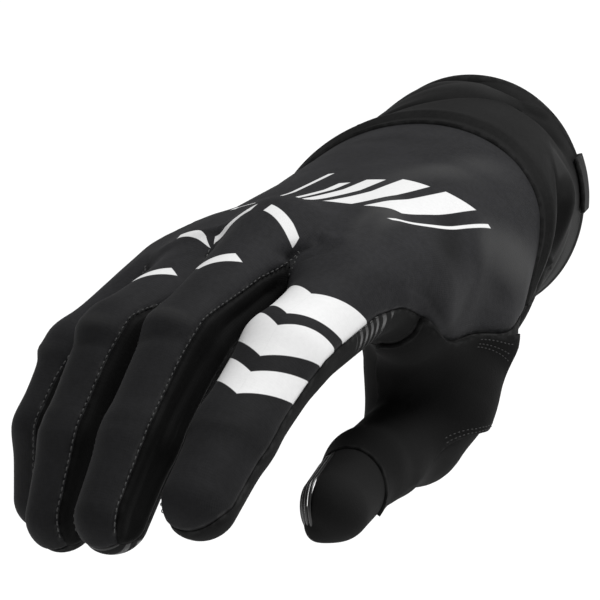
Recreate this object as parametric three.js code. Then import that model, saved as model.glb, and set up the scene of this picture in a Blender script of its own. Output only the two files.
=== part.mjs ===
// A right-hand motocross glove, kept in the shape of the hand that wears it.
// Millimetres and degrees. The origin is in the middle of the wrist. +Y runs out of the cuff
// towards the arm, the fingers point to -Y, the thumb is on +X and the back of the hand on +Z.
import * as THREE from "three";

const CLOTH_WALL = 1.3; // stretch cloth of the back and of the thumb
const STRIP_WALL = 0.85; // thin cloth between the fingers
const SUEDE_WALL = 1.5; // synthetic suede of the palm
const PATCH_WALL = 1.1; // suede patch over the thumb
const CUFF_WALL = 2.4; // foam cuff
const SEAM_GAP = 0.25; // how far each piece stops short of its seam line
const STRIP_GAP = 0.6; // the same for the strips between the fingers
const UNDERSIDE_GAP = 0.6; // for the undersides of the fingers
const SLEEVE_GAP = 0.35; // for the thumb's sleeve
const CUFF_GAP = 0.3; // and for the cuff
const FINGER_GAP = 0.9; // least room between two fingers

// One row for each finger, from the thumb side: where its knuckle is, how far it points
// sideways, how far each bone drops below level, how long each bone is, and how thick the
// glove is round the knuckle, the two finger joints and the middle of the fingertip.
const FINGERS = [
  { name: "index", knuckle: [17, -82, 2], splay: -9, drop: [11.5, 28, 34], bone: [46.5, 28, 20.5],
    radius: [12.6, 11.2, 10.1, 9.2], crotch: [20, 20] },
  { name: "middle", knuckle: [-6.5, -86, 12.5], splay: -9, drop: [17.5, 38, 44], bone: [49, 30, 20.5],
    radius: [12.2, 10.9, 9.9, 9.0], crotch: [17, 15] },
  { name: "ring", knuckle: [-27.5, -82, 4], splay: -12, drop: [9, 44, 58], bone: [44.5, 28.5, 20],
    radius: [12.4, 10.8, 9.7, 8.8], crotch: [16, 16] },
  { name: "little", knuckle: [-47, -75.5, 0], splay: -21, drop: [17, 49, 75], bone: [35.5, 22, 18],
    radius: [11.8, 10.2, 9.3, 8.4], crotch: [18, 18] },
];

// Where a column of the cloth sits round its finger, in degrees from the top of the finger
// towards the thumb side; the palm side is counted from the bottom of the finger. In the hand
// the outer columns keep angles of their own, and the rest spread evenly between the valleys.
const COLUMNS = {
  index: { back: [100, 76, 50, 22, -8, -37, -65], palm: [80, 60, 38, 14, -12, -38, -65],
    backInHand: { 0: 125, 1: 108, 2: 84, 3: 45 }, palmInHand: { 0: 55, 1: 24, 2: 8 } },
  middle: { back: [46, 24, 0, -33, -65], palm: [65, 33, 0, -33, -65], backInHand: {}, palmInHand: {} },
  ring: { back: [38, 20, -2, -33, -65], palm: [65, 33, 0, -33, -65], backInHand: {}, palmInHand: {} },
  little: { back: [30, 16, -2, -28, -59, -90], palm: [65, 35, 4, -28, -59, -90],
    backInHand: { 3: -28, 4: -59, 5: -90 }, palmInHand: { 3: -28, 4: -59, 5: -90 } },
};
const WEB_TURN = 68; // where the back's first column starts at the web, in degrees
const WEB_TURN_ROWS = 5; // rows over which it reaches its own angle

const THUMB = {
  joints: [[13, -23, -19], [10.5, -57, -49], [11, -91.5, -47.5], [12.5, -115, -50]],
  radius: [16, 11.6, 10.2, 9.1],
};

// Sections of the hand from the wrist to the knuckles: the middle of the section, its half
// width and half height, how far its middle arches up over its edges, and the power of its
// outline, where 2 is an ellipse and more is squarer.
const PALM_SECTIONS = [
  { y: 14, x: -5, z: 0, halfWidth: 43, halfHeight: 30, arch: 0, power: 2 },
  { y: -8, x: -5, z: 0, halfWidth: 42, halfHeight: 28, arch: 0, power: 2 },
  { y: -30, x: -7, z: 0, halfWidth: 41, halfHeight: 22, arch: 2, power: 2.2 },
  { y: -55, x: -10, z: 1, halfWidth: 41.5, halfHeight: 16, arch: 4, power: 2.4 },
  { y: -75, x: -13, z: 2, halfWidth: 43, halfHeight: 12.5, arch: 6.5, power: 2.4 },
  { y: -90, x: -14, z: 1, halfWidth: 40, halfHeight: 9.5, arch: 8, power: 2.4 },
];

// Flesh that joins the pieces of the hand: each row is a tapered round bar.
const FILLS = [
  { name: "ball of the thumb", from: [6, -32, -14], to: [9, -50, -28], radius: [15, 8] },
  { name: "thumb side of the hand", from: [16, -25, -12], to: [19, -70, -8], radius: [15, 11] },
  { name: "side of the thumb's base", from: [21, -36, -28], to: [19, -47.5, -41], radius: [11.5, 8.8] },
  { name: "web of the thumb", from: [14, -45, -36], to: [20, -73, -7], radius: [8.5, 8] },
];

// The web between each pair of fingers ends in a round edge about this point.
const WEB_RADIUS = 7;
const WEBS = [
  { pair: [0, 1], edge: [2, -96.5, 4.5] },
  { pair: [1, 2], edge: [-22.7, -93.5, 5.6] },
  { pair: [2, 3], edge: [-44, -87.5, 1] },
];

// Rows of the cloth, counted from the wrist.
const HAND_ROWS = 10; // wrist seam to the edge of the webs
const KNUCKLE_ROW = 8;
const FINGER_ROWS = 9; // web to the middle of the fingertip
const TIP_ANGLES = [30, 60, 90]; // rows over the fingertip
const SIDE_CELLS = 3; // cells across the strip between two fingers
const STRIP_SWELL = 0.6; // how far a strip's middle rays turn towards the finger's side
const WEB_SWELL = 1.4; // and how far they turn forwards over the web
const THUMB_HOLE = { from: 2, to: 8, columns: 2, shift: 31 }; // rows and columns that open into the thumb
const PALM_COLUMN_START = [0, 6, 10, 14]; // first column of each finger, counted across the palm
const THUMB_SIDE_MIDDLE = { x: 14, z: -10 }; // middle of the hand's thumb side
const THUMB_SIDE_PULL = [1, 0.75, 0.3, 0]; // how far a column's rays start towards it
const WRIST_SPREAD = [0.62, 0.2, -0.2, -0.62]; // finger lines at the wrist, in half widths
const WRIST_Y = -5;
const WRIST_SLANT = { back: 0.55, palm: 0.3 }; // how far the wrist seam leans, in mm of Y for each mm of Z

const rad = (degrees) => (degrees * Math.PI) / 180;
const clamp = (value, low, high) => Math.min(Math.max(value, low), high);
const mix = (a, b, t) => a + (b - a) * t;
const ease = (t) => clamp(t, 0, 1) ** 2 * (3 - 2 * clamp(t, 0, 1));
const vec = (x, y, z) => new THREE.Vector3(x, y, z);
const at = (list) => new THREE.Vector3(...list);

// Between rows of a table: value of one column at y, straight between the rows.
function section(y, column) {
  const rows = PALM_SECTIONS;
  const next = clamp(rows.findIndex((row) => row.y < y), 1, rows.length - 1);
  const last = y <= rows[rows.length - 1].y ? rows.length - 1 : next;
  const t = clamp((y - rows[last - 1].y) / (rows[last].y - rows[last - 1].y), 0, 1);
  return mix(rows[last - 1][column], rows[last][column], t);
}

// Distance to a round bar that tapers from one radius to another.
function bar(p, a, b, radiusA, radiusB) {
  const axis = b.clone().sub(a);
  const t = clamp(p.clone().sub(a).dot(axis) / axis.lengthSq(), 0, 1);
  return p.distanceTo(axis.multiplyScalar(t).add(a)) - mix(radiusA, radiusB, t);
}

// The lesser of some distances, rounded where they meet by about `round` mm.
function blend(distances, round) {
  const least = Math.min(...distances);
  const sum = distances.reduce((total, d) => total + Math.exp((least - d) / round), 0);
  return least - round * Math.log(sum);
}

// Distance to the hand between wrist and knuckles: a flattened tube with an arched middle.
function palmDistance(p) {
  const y = clamp(p.y, PALM_SECTIONS.at(-1).y, PALM_SECTIONS[0].y);
  const halfWidth = section(y, "halfWidth");
  const dx = p.x - section(y, "x");
  const arch = section(y, "arch") * (1 - clamp(dx / halfWidth, -1.3, 1.3) ** 2);
  const dz = p.z - section(y, "z") - arch;
  const power = section(y, "power");
  const [across, up] = [Math.abs(dx / halfWidth), Math.abs(dz / section(y, "halfHeight"))];
  const size = (across ** power + up ** power) ** (1 / power);
  const inPlane = ((size - 1) * Math.hypot(dx, dz)) / Math.max(size, 1e-6);
  const past = Math.abs(p.y - y);
  return past > 0 ? Math.hypot(Math.max(inPlane, 0), past) : inPlane;
}

// Joints of a finger, its sideways direction, and the angles its bones drop by.
function skeleton(finger) {
  const aim = rad(finger.splay);
  const joints = [at(finger.knuckle)];
  finger.bone.forEach((length, i) => {
    const drop = rad(finger.drop[i]);
    const step = vec(Math.sin(aim) * Math.cos(drop), -Math.cos(aim) * Math.cos(drop), -Math.sin(drop));
    joints.push(joints[i].clone().addScaledVector(step, length));
  });
  return { ...finger, aim, joints, side: vec(Math.cos(aim), Math.sin(aim), 0) };
}

const fingers = FINGERS.map(skeleton);
const thumbJoints = THUMB.joints.map(at);

const chainDistance = (p, joints, radius) =>
  blend([0, 1, 2].map((i) => bar(p, joints[i], joints[i + 1], radius[i], radius[i + 1])), 1);

// Distance to the body of the hand with its webs, without fingers or thumb.
function bodyDistance(p) {
  const parts = [palmDistance(p), bar(p, thumbJoints[0], thumbJoints[1], THUMB.radius[0], THUMB.radius[1])];
  FILLS.forEach((f) => parts.push(bar(p, at(f.from), at(f.to), ...f.radius)));
  const webs = WEBS.map(({ pair, edge }) => {
    const root = fingers[pair[0]].joints[0].clone().lerp(fingers[pair[1]].joints[0], 0.5);
    return bar(p, root.add(vec(0, 10, -3)), at(edge), 9, WEB_RADIUS);
  });
  return blend([blend(parts, 5), ...webs], 3);
}

// Distance to the hand with one finger, which keeps clear of the fingers beside it.
function fingerDistance(index) {
  return (p) => {
    const own = chainDistance(p, fingers[index].joints, fingers[index].radius);
    const walls = [index - 1, index + 1].filter((i) => fingers[i]).map((i) => {
      const other = chainDistance(p, fingers[i].joints, fingers[i].radius);
      return -(own - other + FINGER_GAP) / 2;
    });
    return blend([bodyDistance(p), -blend([-own, ...walls], 0.7)], 3);
  };
}

const thumbDistance = (p) =>
  blend([bodyDistance(p), chainDistance(p, thumbJoints, THUMB.radius)], 2);

// First place where a ray from inside comes out of a surface.
function cast(distance, origin, direction) {
  const way = direction.clone().normalize();
  const step = 1.5;
  let inside = 0;
  let outside = 0;
  for (let t = step; t < 90; t += step) {
    outside = t;
    if (distance(origin.clone().addScaledVector(way, t)) > 0) break;
    inside = t;
  }
  for (let i = 0; i < 14; i += 1) {
    const middle = (inside + outside) / 2;
    if (distance(origin.clone().addScaledVector(way, middle)) > 0) outside = middle;
    else inside = middle;
  }
  const place = origin.clone().addScaledVector(way, (inside + outside) / 2);
  return { place, outward: slope(distance, place) };
}

// Place on a surface that is reached from a place near it, along the slope.
function settle(distance, place) {
  const p = place.clone();
  for (let i = 0; i < 8; i += 1) p.addScaledVector(slope(distance, p), -clamp(distance(p), -3, 3));
  return { place: p, outward: slope(distance, p) };
}

// Direction in which a distance grows fastest: the way out of the surface.
function slope(distance, p) {
  const reach = 0.4;
  const along = (axis) =>
    distance(p.clone().addScaledVector(axis, reach)) - distance(p.clone().addScaledVector(axis, -reach));
  return vec(along(vec(1, 0, 0)), along(vec(0, 1, 0)), along(vec(0, 0, 1))).normalize();
}

// The cloth's points: one list for the whole glove, so that pieces meet at shared seam points.
const points = [];
const keep = (point) => points.push(point) - 1;
const between = (a, b, share = 0.5) => ({
  place: a.place.clone().lerp(b.place, share),
  outward: a.outward.clone().lerp(b.outward, share).normalize(),
});

// Place on a finger's bones, its direction of travel and its upward direction at a distance
// from the knuckle. The direction turns over `turn` mm at each joint.
function boneFrame(finger, distance) {
  const turn = 12;
  let start = 0;
  let drop = rad(finger.drop[0]);
  let place = finger.joints[0].clone();
  finger.bone.forEach((length, i) => {
    const end = start + length;
    if (distance > start || i === 0) {
      const t = clamp((distance - start) / length, i === 0 ? -1 : 0, 1);
      place = finger.joints[i].clone().lerp(finger.joints[i + 1], t);
    }
    if (i > 0) {
      const change = rad(finger.drop[i] - finger.drop[i - 1]);
      drop += change * ease((distance - start + turn / 2) / turn);
    }
    start = end;
  });
  const aim = finger.aim;
  const along = vec(Math.sin(aim) * Math.cos(drop), -Math.cos(aim) * Math.cos(drop), -Math.sin(drop));
  return { place, along, up: finger.side.clone().cross(along).multiplyScalar(-1).normalize() };
}

// Middle of a finger's share of the hand at a row: from the wrist to the knuckle, then along
// the first bone.
function handLine(index, row) {
  const finger = fingers[index];
  if (row >= KNUCKLE_ROW) {
    const reach = (finger.crotch[0] + finger.crotch[1]) / 2;
    return boneFrame(finger, (reach * (row - KNUCKLE_ROW)) / (HAND_ROWS - KNUCKLE_ROW)).place;
  }
  const wristX = section(WRIST_Y, "x") + WRIST_SPREAD[index] * section(WRIST_Y, "halfWidth");
  const wrist = vec(wristX, WRIST_Y, 0);
  return wrist.lerp(finger.joints[0], row / KNUCKLE_ROW);
}

// How far a row of the hand already follows its finger, from 0 to 1.
const fingerShare = (row) => ease((row - KNUCKLE_ROW + 2) / (HAND_ROWS - KNUCKLE_ROW + 2));

// How far a column of the palm moves aside at a row to make room for the ball of the thumb:
// most at the edge of the thumb hole, and nothing at both sides of the hand.
function shiftAside(row, column) {
  const { columns, shift, to } = THUMB_HOLE;
  const alongRows = Math.min(row / 3, 1) * (1 - clamp((row - 3) / (to - 2), 0, 1) ** 1.6);
  const across = column <= columns ? column / columns : 1 - (column - columns) / PALM_COLUMN_START.at(-1);
  return shift * alongRows * Math.max(across, 0);
}

// Upward direction of a row of the hand: the wrist seam leans, and the rows level out from it.
function rise(row, facing) {
  const [slant, level] = facing > 0 ? [WRIST_SLANT.back, 6] : [WRIST_SLANT.palm, 3];
  return vec(0, facing * slant * (1 - ease(row / level)), facing);
}

// Point of the back or the palm. `facing` is 1 for the back and -1 for the palm.
function columnPoint(index, row, column, facing) {
  const finger = fingers[index];
  const layout = COLUMNS[finger.name];
  const angles = facing > 0 ? layout.back : layout.palm;
  const distance = fingerDistance(index);
  const share = column / (angles.length - 1);
  const crotch = mix(finger.crotch[0], finger.crotch[1], share);
  const total = finger.bone[0] + finger.bone[1] + finger.bone[2];
  const tipRow = row - HAND_ROWS - FINGER_ROWS;
  if (tipRow > 0) {
    const frame = boneFrame(finger, total);
    const level = (layout.back[column] + layout.palm[column]) / 2;
    const turn = mix(angles[column], level, tipRow / TIP_ANGLES.length);
    const way = tipDirection(frame, finger.side, turn, TIP_ANGLES[tipRow - 1], facing);
    return cast(distance, finger.joints[3], way);
  }
  const along = clamp((row - HAND_ROWS) / FINGER_ROWS, 0, 1);
  const onFinger = boneFrame(finger, mix(crotch, total, along));
  const fromWeb = facing > 0 && index > 0 && column === 0 ? 1 - ease((row - HAND_ROWS) / WEB_TURN_ROWS) : 0;
  const ring = ringDirection(onFinger, finger.side, mix(angles[column], WEB_TURN, fromWeb), facing);
  if (row >= HAND_ROWS) return cast(distance, onFinger.place, ring);

  // in the hand an outer column keeps its own angle, which turns into its angle on the finger
  const toFinger = fingerShare(row);
  const origin = handLine(index, row);
  const turn = (facing > 0 ? layout.backInHand : layout.palmInHand)[column];
  if (index === 0) {
    const { x, z } = THUMB_SIDE_MIDDLE;
    origin.lerp(vec(x, origin.y, z), (1 - toFinger) * THUMB_SIDE_PULL[column]);
  }
  if (facing < 0) origin.x -= shiftAside(row, PALM_COLUMN_START[index] + column);
  const up = rise(row, facing);
  const way = up.multiplyScalar(Math.cos(rad(turn))).add(vec(Math.sin(rad(turn)), 0, 0));
  return cast(distance, origin, way.lerp(ring, toFinger));
}

// Point of the hand between two known points of its row: the ray aims at a place between them.
const RULED_ASIDE = 0.5; // how far the ray's origin moves towards its aim in X
const RULED_START = 0.3; // share of the way to the aim where the ray starts
function ruledPoint(index, row, share, [left, right]) {
  const origin = handLine(index, row);
  const aim = left.place.clone().lerp(right.place, share);
  origin.x = mix(origin.x, aim.x, RULED_ASIDE);
  aim.y = mix(aim.y, origin.y, fingerShare(row) * 4 * share * (1 - share));
  const inside = origin.clone().lerp(aim, RULED_START);
  return cast(fingerDistance(index), inside, aim.sub(origin));
}

// Point of the valley between two fingers, from the wrist to the edge of the web. Where one
// knuckle is higher than the other, the way into the valley leans towards the lower one.
function valleyPoint(index, row, facing) {
  const edge = at(WEBS[index].edge);
  if (row === HAND_ROWS) return cast(bodyDistance, edge, vec(0, -0.6, 0.8 * facing));
  const [near, far] = [handLine(index, row), handLine(index + 1, row)];
  const reach = clamp((row - KNUCKLE_ROW + 2) / (HAND_ROWS - KNUCKLE_ROW + 2), 0, 1) ** 2;
  const origin = near.clone().lerp(far, 0.5).lerp(edge, reach);
  if (facing < 0) origin.x -= shiftAside(row, PALM_COLUMN_START[index + 1]);
  const lean = (far.z - near.z) / (near.x - far.x);
  const way = rise(row, facing).add(vec(facing * lean * reach, -0.5 * reach ** 3, 0));
  return cast((p) => blend([fingerDistance(index)(p), fingerDistance(index + 1)(p)], 0.5), origin, way);
}

// Direction round a finger: `turn` degrees from its top or bottom towards the thumb side.
const ringDirection = (frame, side, turn, facing) =>
  frame.up.clone().multiplyScalar(facing * Math.cos(rad(turn))).addScaledVector(side, Math.sin(rad(turn)));

// Direction over a fingertip: `lift` turns the ring forwards, and the sides lean forwards too,
// so that the cells stay about as wide as they are long.
function tipDirection(frame, side, turn, lift, facing) {
  const lean = Math.tan(rad(0.4 * lift)) * Math.abs(Math.sin(rad(turn)));
  return frame.up.clone().multiplyScalar(facing * Math.cos(rad(turn)) * Math.cos(rad(lift)))
    .addScaledVector(side, Math.sin(rad(turn)))
    .addScaledVector(frame.along, Math.cos(rad(turn)) * Math.sin(rad(lift)) + lean);
}

const LAST_ROW = HAND_ROWS + FINGER_ROWS + TIP_ANGLES.length;
const columnsOf = (index) => COLUMNS[fingers[index].name].back.length;

// Grid of points of one face, as grid[finger][row][column]. Fingers share their valleys.
function sheet(facing) {
  const rows = Array.from({ length: LAST_ROW + 1 }, (_, row) => row);
  return fingers.map((_, index) => rows.map((row) => {
    const columns = columnsOf(index);
    const line = Array.from({ length: columns }, () => null);
    if (row <= HAND_ROWS && index > 0) line[0] = valley(index - 1, row, facing);
    if (row <= HAND_ROWS && index < 3) line[columns - 1] = valley(index, row, facing);
    const fixed = COLUMNS[fingers[index].name][facing > 0 ? "backInHand" : "palmInHand"];
    line.forEach((known, column) => {
      if (known || (row < HAND_ROWS && !(column in fixed))) return;
      line[column] = columnPoint(index, row, column, facing);
    });
    const before = (column) => line.slice(0, column).findLastIndex((point) => point && !point.ruled);
    line.forEach((known, column) => {
      if (known) return;
      const left = before(column);
      const right = line.findIndex((point, i) => point && i > column);
      const share = (column - left) / (right - left);
      line[column] = { ...ruledPoint(index, row, share, [line[left], line[right]]), ruled: true };
    });
    return line;
  }));
}

const valleys = new Map();
function valley(index, row, facing) {
  const key = [index, row, facing].join();
  if (!valleys.has(key)) valleys.set(key, valleyPoint(index, row, facing));
  return valleys.get(key);
}

const backPoints = sheet(1);
const palmPoints = sheet(-1);
for (let row = 0; row <= LAST_ROW; row += 1) {
  const inHole = row > THUMB_HOLE.from && row < THUMB_HOLE.to;
  const ends = [[0, 0], [3, columnsOf(3) - 1]].filter(([index]) => index > 0 || !inHole);
  ends.forEach(([index, column]) => {
    const shared = between(backPoints[index][row][column], palmPoints[index][row][column]);
    backPoints[index][row][column] = shared;
    palmPoints[index][row][column] = shared;
  });
}
fingers.forEach((_, index) => {
  for (let column = 0; column < columnsOf(index); column += 1) {
    const shared = between(backPoints[index][LAST_ROW][column], palmPoints[index][LAST_ROW][column]);
    backPoints[index][LAST_ROW][column] = shared;
    palmPoints[index][LAST_ROW][column] = shared;
  }
});

const known = new Map();
const numbered = (point) => {
  if (!known.has(point)) known.set(point, keep(point));
  return known.get(point);
};
const back = backPoints.map((finger) => finger.map((row) => row.map(numbered)));
const palm = palmPoints.map((finger) => finger.map((row) => row.map(numbered)));

// Cells of a grid whose points run from the thumb side and away from the wrist. `flip` turns
// the cells over, for a grid that is seen from the palm.
function cells(grid, rows, flip = false, open = () => false) {
  const found = [];
  for (let row = rows[0]; row < rows[1]; row += 1) {
    for (let column = 0; column + 1 < grid[row].length; column += 1) {
      if (open(row, column)) continue;
      const [near, far] = [grid[row], grid[row + 1]];
      const loop = [near[column], near[column + 1], far[column + 1], far[column]];
      found.push(flip ? loop.reverse() : loop);
    }
  }
  return found;
}

// Strip between two fingers: down the side of one, over the web, and up the side of the other.
function sideStrip(index) {
  const sides = [index, index + 1].map((which, far) => {
    const finger = fingers[which];
    const edge = far ? 0 : columnsOf(which) - 1;
    const rows = [];
    for (let row = HAND_ROWS + 1; row <= LAST_ROW; row += 1) {
      const top = points[back[which][row][edge]];
      const bottom = points[palm[which][row][edge]];
      const along = clamp((row - HAND_ROWS) / FINGER_ROWS, 0, 1);
      const total = finger.bone[0] + finger.bone[1] + finger.bone[2];
      const centre = boneFrame(finger, mix(finger.crotch[far ? 0 : 1], total, along)).place;
      rows.push(stripRow(back[which][row][edge], palm[which][row][edge], (t) => {
        const middle = finger.side.clone().multiplyScalar(far ? 1 : -1);
        const aim = top.place.clone().sub(centre).normalize().multiplyScalar(1 - t)
          .addScaledVector(bottom.place.clone().sub(centre).normalize(), t)
          .addScaledVector(middle, row > HAND_ROWS + FINGER_ROWS ? 0 : STRIP_SWELL * Math.sin(Math.PI * t));
        return cast(fingerDistance(which), centre, aim);
      }));
    }
    return rows;
  });
  const web = WEBS[index];
  const centre = at(web.edge);
  const forward = fingers[index].joints[1].clone().sub(fingers[index].joints[0])
    .add(fingers[index + 1].joints[1]).sub(fingers[index + 1].joints[0]).normalize();
  const top = back[index][HAND_ROWS].at(-1);
  const bottom = palm[index][HAND_ROWS].at(-1);
  const webRow = stripRow(top, bottom, (t) => {
    const aim = points[top].place.clone().sub(centre).normalize().multiplyScalar(1 - t)
      .addScaledVector(points[bottom].place.clone().sub(centre).normalize(), t)
      .addScaledVector(forward, WEB_SWELL * Math.sin(Math.PI * t));
    return cast(bodyDistance, centre, aim);
  });
  return [...sides[0].reverse(), webRow, ...sides[1]];
}

// A row across a strip: its two ends, and the points that `pointAt` gives between them.
function stripRow(top, bottom, pointAt) {
  const row = [top];
  for (let i = 1; i < SIDE_CELLS; i += 1) {
    row.push(top === bottom ? top : keep(pointAt(i / SIDE_CELLS)));
  }
  return [...row, bottom];
}

// The thumb: rings round a line that leaves the hand downwards and bends forwards.
// Each row gives the middle of a ring and how far its plane has turned from level to upright,
// on the side of the web and on the outer side.
const THUMB_RINGS = [
  { middle: [14, -47, -29], web: 25, outer: 52 },
  { middle: [12.5, -50, -36], web: 28, outer: 64 },
  { middle: [11, -54.5, -44], web: 40, outer: 76 },
  { middle: [10.6, -65, -48.7], web: 90, outer: 90 },
  { middle: [10.8, -76, -48.2], web: 96, outer: 96 },
  { middle: [11, -87, -47.7], web: 102, outer: 102 },
  { middle: [11.5, -98, -48.2], web: 106, outer: 106 },
  { middle: [12, -107, -49.1], web: 95, outer: 95 },
  { middle: [12.5, -115, -50], web: 84, outer: 84 },
];

const FIRST_FULL_RING = 5; // first ring that goes all the way round the thumb's own bar
const WEB_BEND = 10; // how far the web curves back towards the wrist
const STRAIGHT_SHARE = 0.19; // share of the way round from the web that the straight rows keep
const OWN_SHARE = 0.62; // share of the way round over which the rings' own shape takes over

// Points round the thumb hole, from the middle of its web end, past the back of the hand,
// the wrist end and the palm.
function holeLoop() {
  const { from, to, columns } = THUMB_HOLE;
  const loop = [];
  for (let column = columns / 2; column > 0; column -= 1) loop.push(palm[0][to][column]);
  for (let row = to; row > from; row -= 1) loop.push(back[0][row][0]);
  for (let column = 0; column < columns; column += 1) loop.push(palm[0][from][column]);
  for (let row = from; row < to; row += 1) loop.push(palm[0][row][columns]);
  for (let column = columns; column > columns / 2; column -= 1) loop.push(palm[0][to][column]);
  return loop;
}

function thumbRings() {
  const loop = holeLoop();
  const rings = [loop];
  const frameOf = (turned) => ({
    up: vec(0, -Math.cos(rad(turned)), Math.sin(rad(turned))),
    along: vec(0, -Math.sin(rad(turned)), -Math.cos(rad(turned))),
  });
  const side = vec(1, 0, 0);
  const turnOf = (column) => (360 * column) / loop.length;
  const outerShare = (column) => (1 - Math.cos(rad(turnOf(column)))) / 2;
  THUMB_RINGS.forEach(({ middle, web, outer }) => {
    rings.push(loop.map((_, column) => {
      const frame = frameOf(mix(web, outer, outerShare(column)));
      return keep(cast(thumbDistance, at(middle), ringDirection(frame, side, turnOf(column), 1)));
    }));
  });
  // on the side of the web the first rings run straight from the hole to the first full ring
  for (let ring = 1; ring < FIRST_FULL_RING; ring += 1) {
    rings[ring].forEach((number, column) => {
      const hole = points[loop[column]].place;
      const full = points[rings[FIRST_FULL_RING][column]].place;
      const share = ring / FIRST_FULL_RING;
      const straight = hole.clone().lerp(full, share);
      straight.y += WEB_BEND * 4 * share * (1 - share) * (1 - outerShare(column));
      const ownShare = ease((outerShare(column) - STRAIGHT_SHARE) / OWN_SHARE);
      points[number] = settle(thumbDistance, straight.lerp(points[number].place, ownShare));
    });
  }
  const end = THUMB_RINGS.at(-1);
  const frame = frameOf(end.web);
  [35, 65].forEach((lift) => {
    rings.push(loop.map((_, column) => {
      const aim = ringDirection(frame, side, turnOf(column), 1).multiplyScalar(Math.cos(rad(lift)));
      aim.addScaledVector(frame.along, Math.sin(rad(lift)));
      return keep(cast(thumbDistance, at(end.middle), aim));
    }));
  });
  const pole = keep(cast(thumbDistance, at(end.middle), frame.along));
  rings.push(loop.map(() => pole));
  return rings.map((ring) => [...ring, ring[0]]);
}

// A closed wall: cells on the outside, the same cells one wall further in, and a rim between
// them along every free edge, which stops short of the seam. `raise` lifts the whole wall.
function wall(cellList, thickness, { raise = () => 0, gap = SEAM_GAP } = {}) {
  const triangles = [];
  cellList.forEach((loop) => {
    const [a, b, c, d] = loop;
    [[a, b, c], [a, c, d]].forEach((t) => {
      if (new Set(t).size === 3) triangles.push(t);
    });
  });
  const edges = new Map();
  triangles.forEach((t) => t.forEach((a, i) => {
    const b = t[(i + 1) % 3];
    edges.set(a + "," + b, [a, b, t[(i + 2) % 3]]);
  }));
  const rim = [...edges.values()].filter(([a, b]) => !edges.has(b + "," + a));
  const inwards = new Map();
  rim.forEach(([a, b, third]) => {
    const run = points[b].place.clone().sub(points[a].place).normalize();
    const inward = points[third].place.clone().sub(points[a].place);
    inward.addScaledVector(run, -inward.dot(run)).normalize();
    [a, b].forEach((p) => inwards.set(p, (inwards.get(p) ?? vec(0, 0, 0)).add(inward)));
  });
  const used = [...new Set(triangles.flat())];
  const number = new Map(used.map((p, i) => [p, i]));
  const places = (depth) => used.map((p) => {
    const { place, outward } = points[p];
    const out = place.clone().addScaledVector(outward, raise(p) - depth);
    if (inwards.has(p)) out.addScaledVector(inwards.get(p).clone().normalize(), gap);
    return out;
  });
  const position = [...places(0), ...places(thickness)].flatMap((p) => [p.x, p.y, p.z]);
  const outer = triangles.flatMap((t) => t.map((p) => number.get(p)));
  const inner = triangles.flatMap(([a, b, c]) => [a, c, b].map((p) => number.get(p) + used.length));
  const sides = rim.flatMap(([a, b]) => {
    const [i, j] = [number.get(a), number.get(b)];
    return [j, i, i + used.length, j, i + used.length, j + used.length];
  });
  const geometry = new THREE.BufferGeometry();
  geometry.setAttribute("position", new THREE.Float32BufferAttribute(position, 3));
  geometry.setIndex([...outer, ...inner, ...sides]);
  geometry.computeVertexNormals();
  return geometry;
}

const glove = new THREE.Group();
function add(name, geometry, color, roughness) {
  const mesh = new THREE.Mesh(geometry, new THREE.MeshStandardMaterial({ color, roughness, metalness: 0 }));
  mesh.name = name;
  glove.add(mesh);
  return mesh;
}

// The cuff: sections from the wrist seam to the rim, as shares of its length, with the middle,
// half width and half height, where the middle of the row is and how far it leans.
const CUFF_SECTIONS = [
  { share: 0, halfWidth: 42.5, halfHeight: 28.5, y: -5, slant: 0.55 },
  { share: 0.14, halfWidth: 42, halfHeight: 30, y: 2.5, slant: 0.5 },
  { share: 0.5, halfWidth: 37.5, halfHeight: 32.5, y: 22, slant: 0.32 },
  { share: 1, halfWidth: 33.5, halfHeight: 34.5, y: 48.5, slant: 0.12 },
];
const CUFF_MIDDLE = [-4, -0.5]; // X and Z
const CUFF_LENGTH = 52;
const CUFF_ROWS = 16;
const CUFF_CELL = 5.5; // longest step round the seam
const CUFF_LEAN_FROM = -17; // below this Z a row of the cuff no longer leans
const SEAM_FADE = 4; // power by which the shape of the wrist seam fades along the cuff

// Folds and rolls of the cuff: where the middle is, as degrees from the top towards the thumb
// and as a share of the length, how much the share grows for each degree, how far the fold
// runs round the cuff, how broad it is and how high, where less than nothing is a groove.
const CUFF_FOLDS = [
  { name: "groove near the rim", turn: 8, along: 0.8, tilt: 0, spread: 20, breadth: 0.06, height: -1.6 },
  { name: "groove on top", turn: 17, along: 0.5, tilt: 0.0085, spread: 30, breadth: 0.07, height: -2.2 },
  { name: "roll between them", turn: 12, along: 0.66, tilt: 0.003, spread: 24, breadth: 0.08, height: 0.9 },
  { name: "tuck at the seam", turn: 98, along: 0.14, tilt: -0.004, spread: 22, breadth: 0.08, height: -4 },
  { name: "roll at the tuck", turn: 88, along: 0.4, tilt: 0.002, spread: 26, breadth: 0.11, height: 1.5 },
  { name: "fold below it", turn: 134, along: 0.34, tilt: 0.004, spread: 22, breadth: 0.08, height: -1.5 },
  { name: "swell by the thumb", turn: 152, along: 0, tilt: 0, spread: 26, breadth: 0.3, height: 3 },
  { name: "flat by the back", turn: -48, along: 0.2, tilt: 0, spread: 30, breadth: 0.3, height: -2.2 },
  { name: "fold underneath", turn: -165, along: 0.5, tilt: 0.001, spread: 40, breadth: 0.09, height: -1.3 },
];

// Value of one column of the cuff's sections at a share of its length.
function cuffSection(share, column) {
  const found = CUFF_SECTIONS.findIndex((row) => row.share >= share);
  const next = clamp(found, 1, CUFF_SECTIONS.length - 1);
  const [a, b] = [CUFF_SECTIONS[next - 1], CUFF_SECTIONS[next]];
  return mix(a[column], b[column], (share - a.share) / (b.share - a.share));
}

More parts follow.
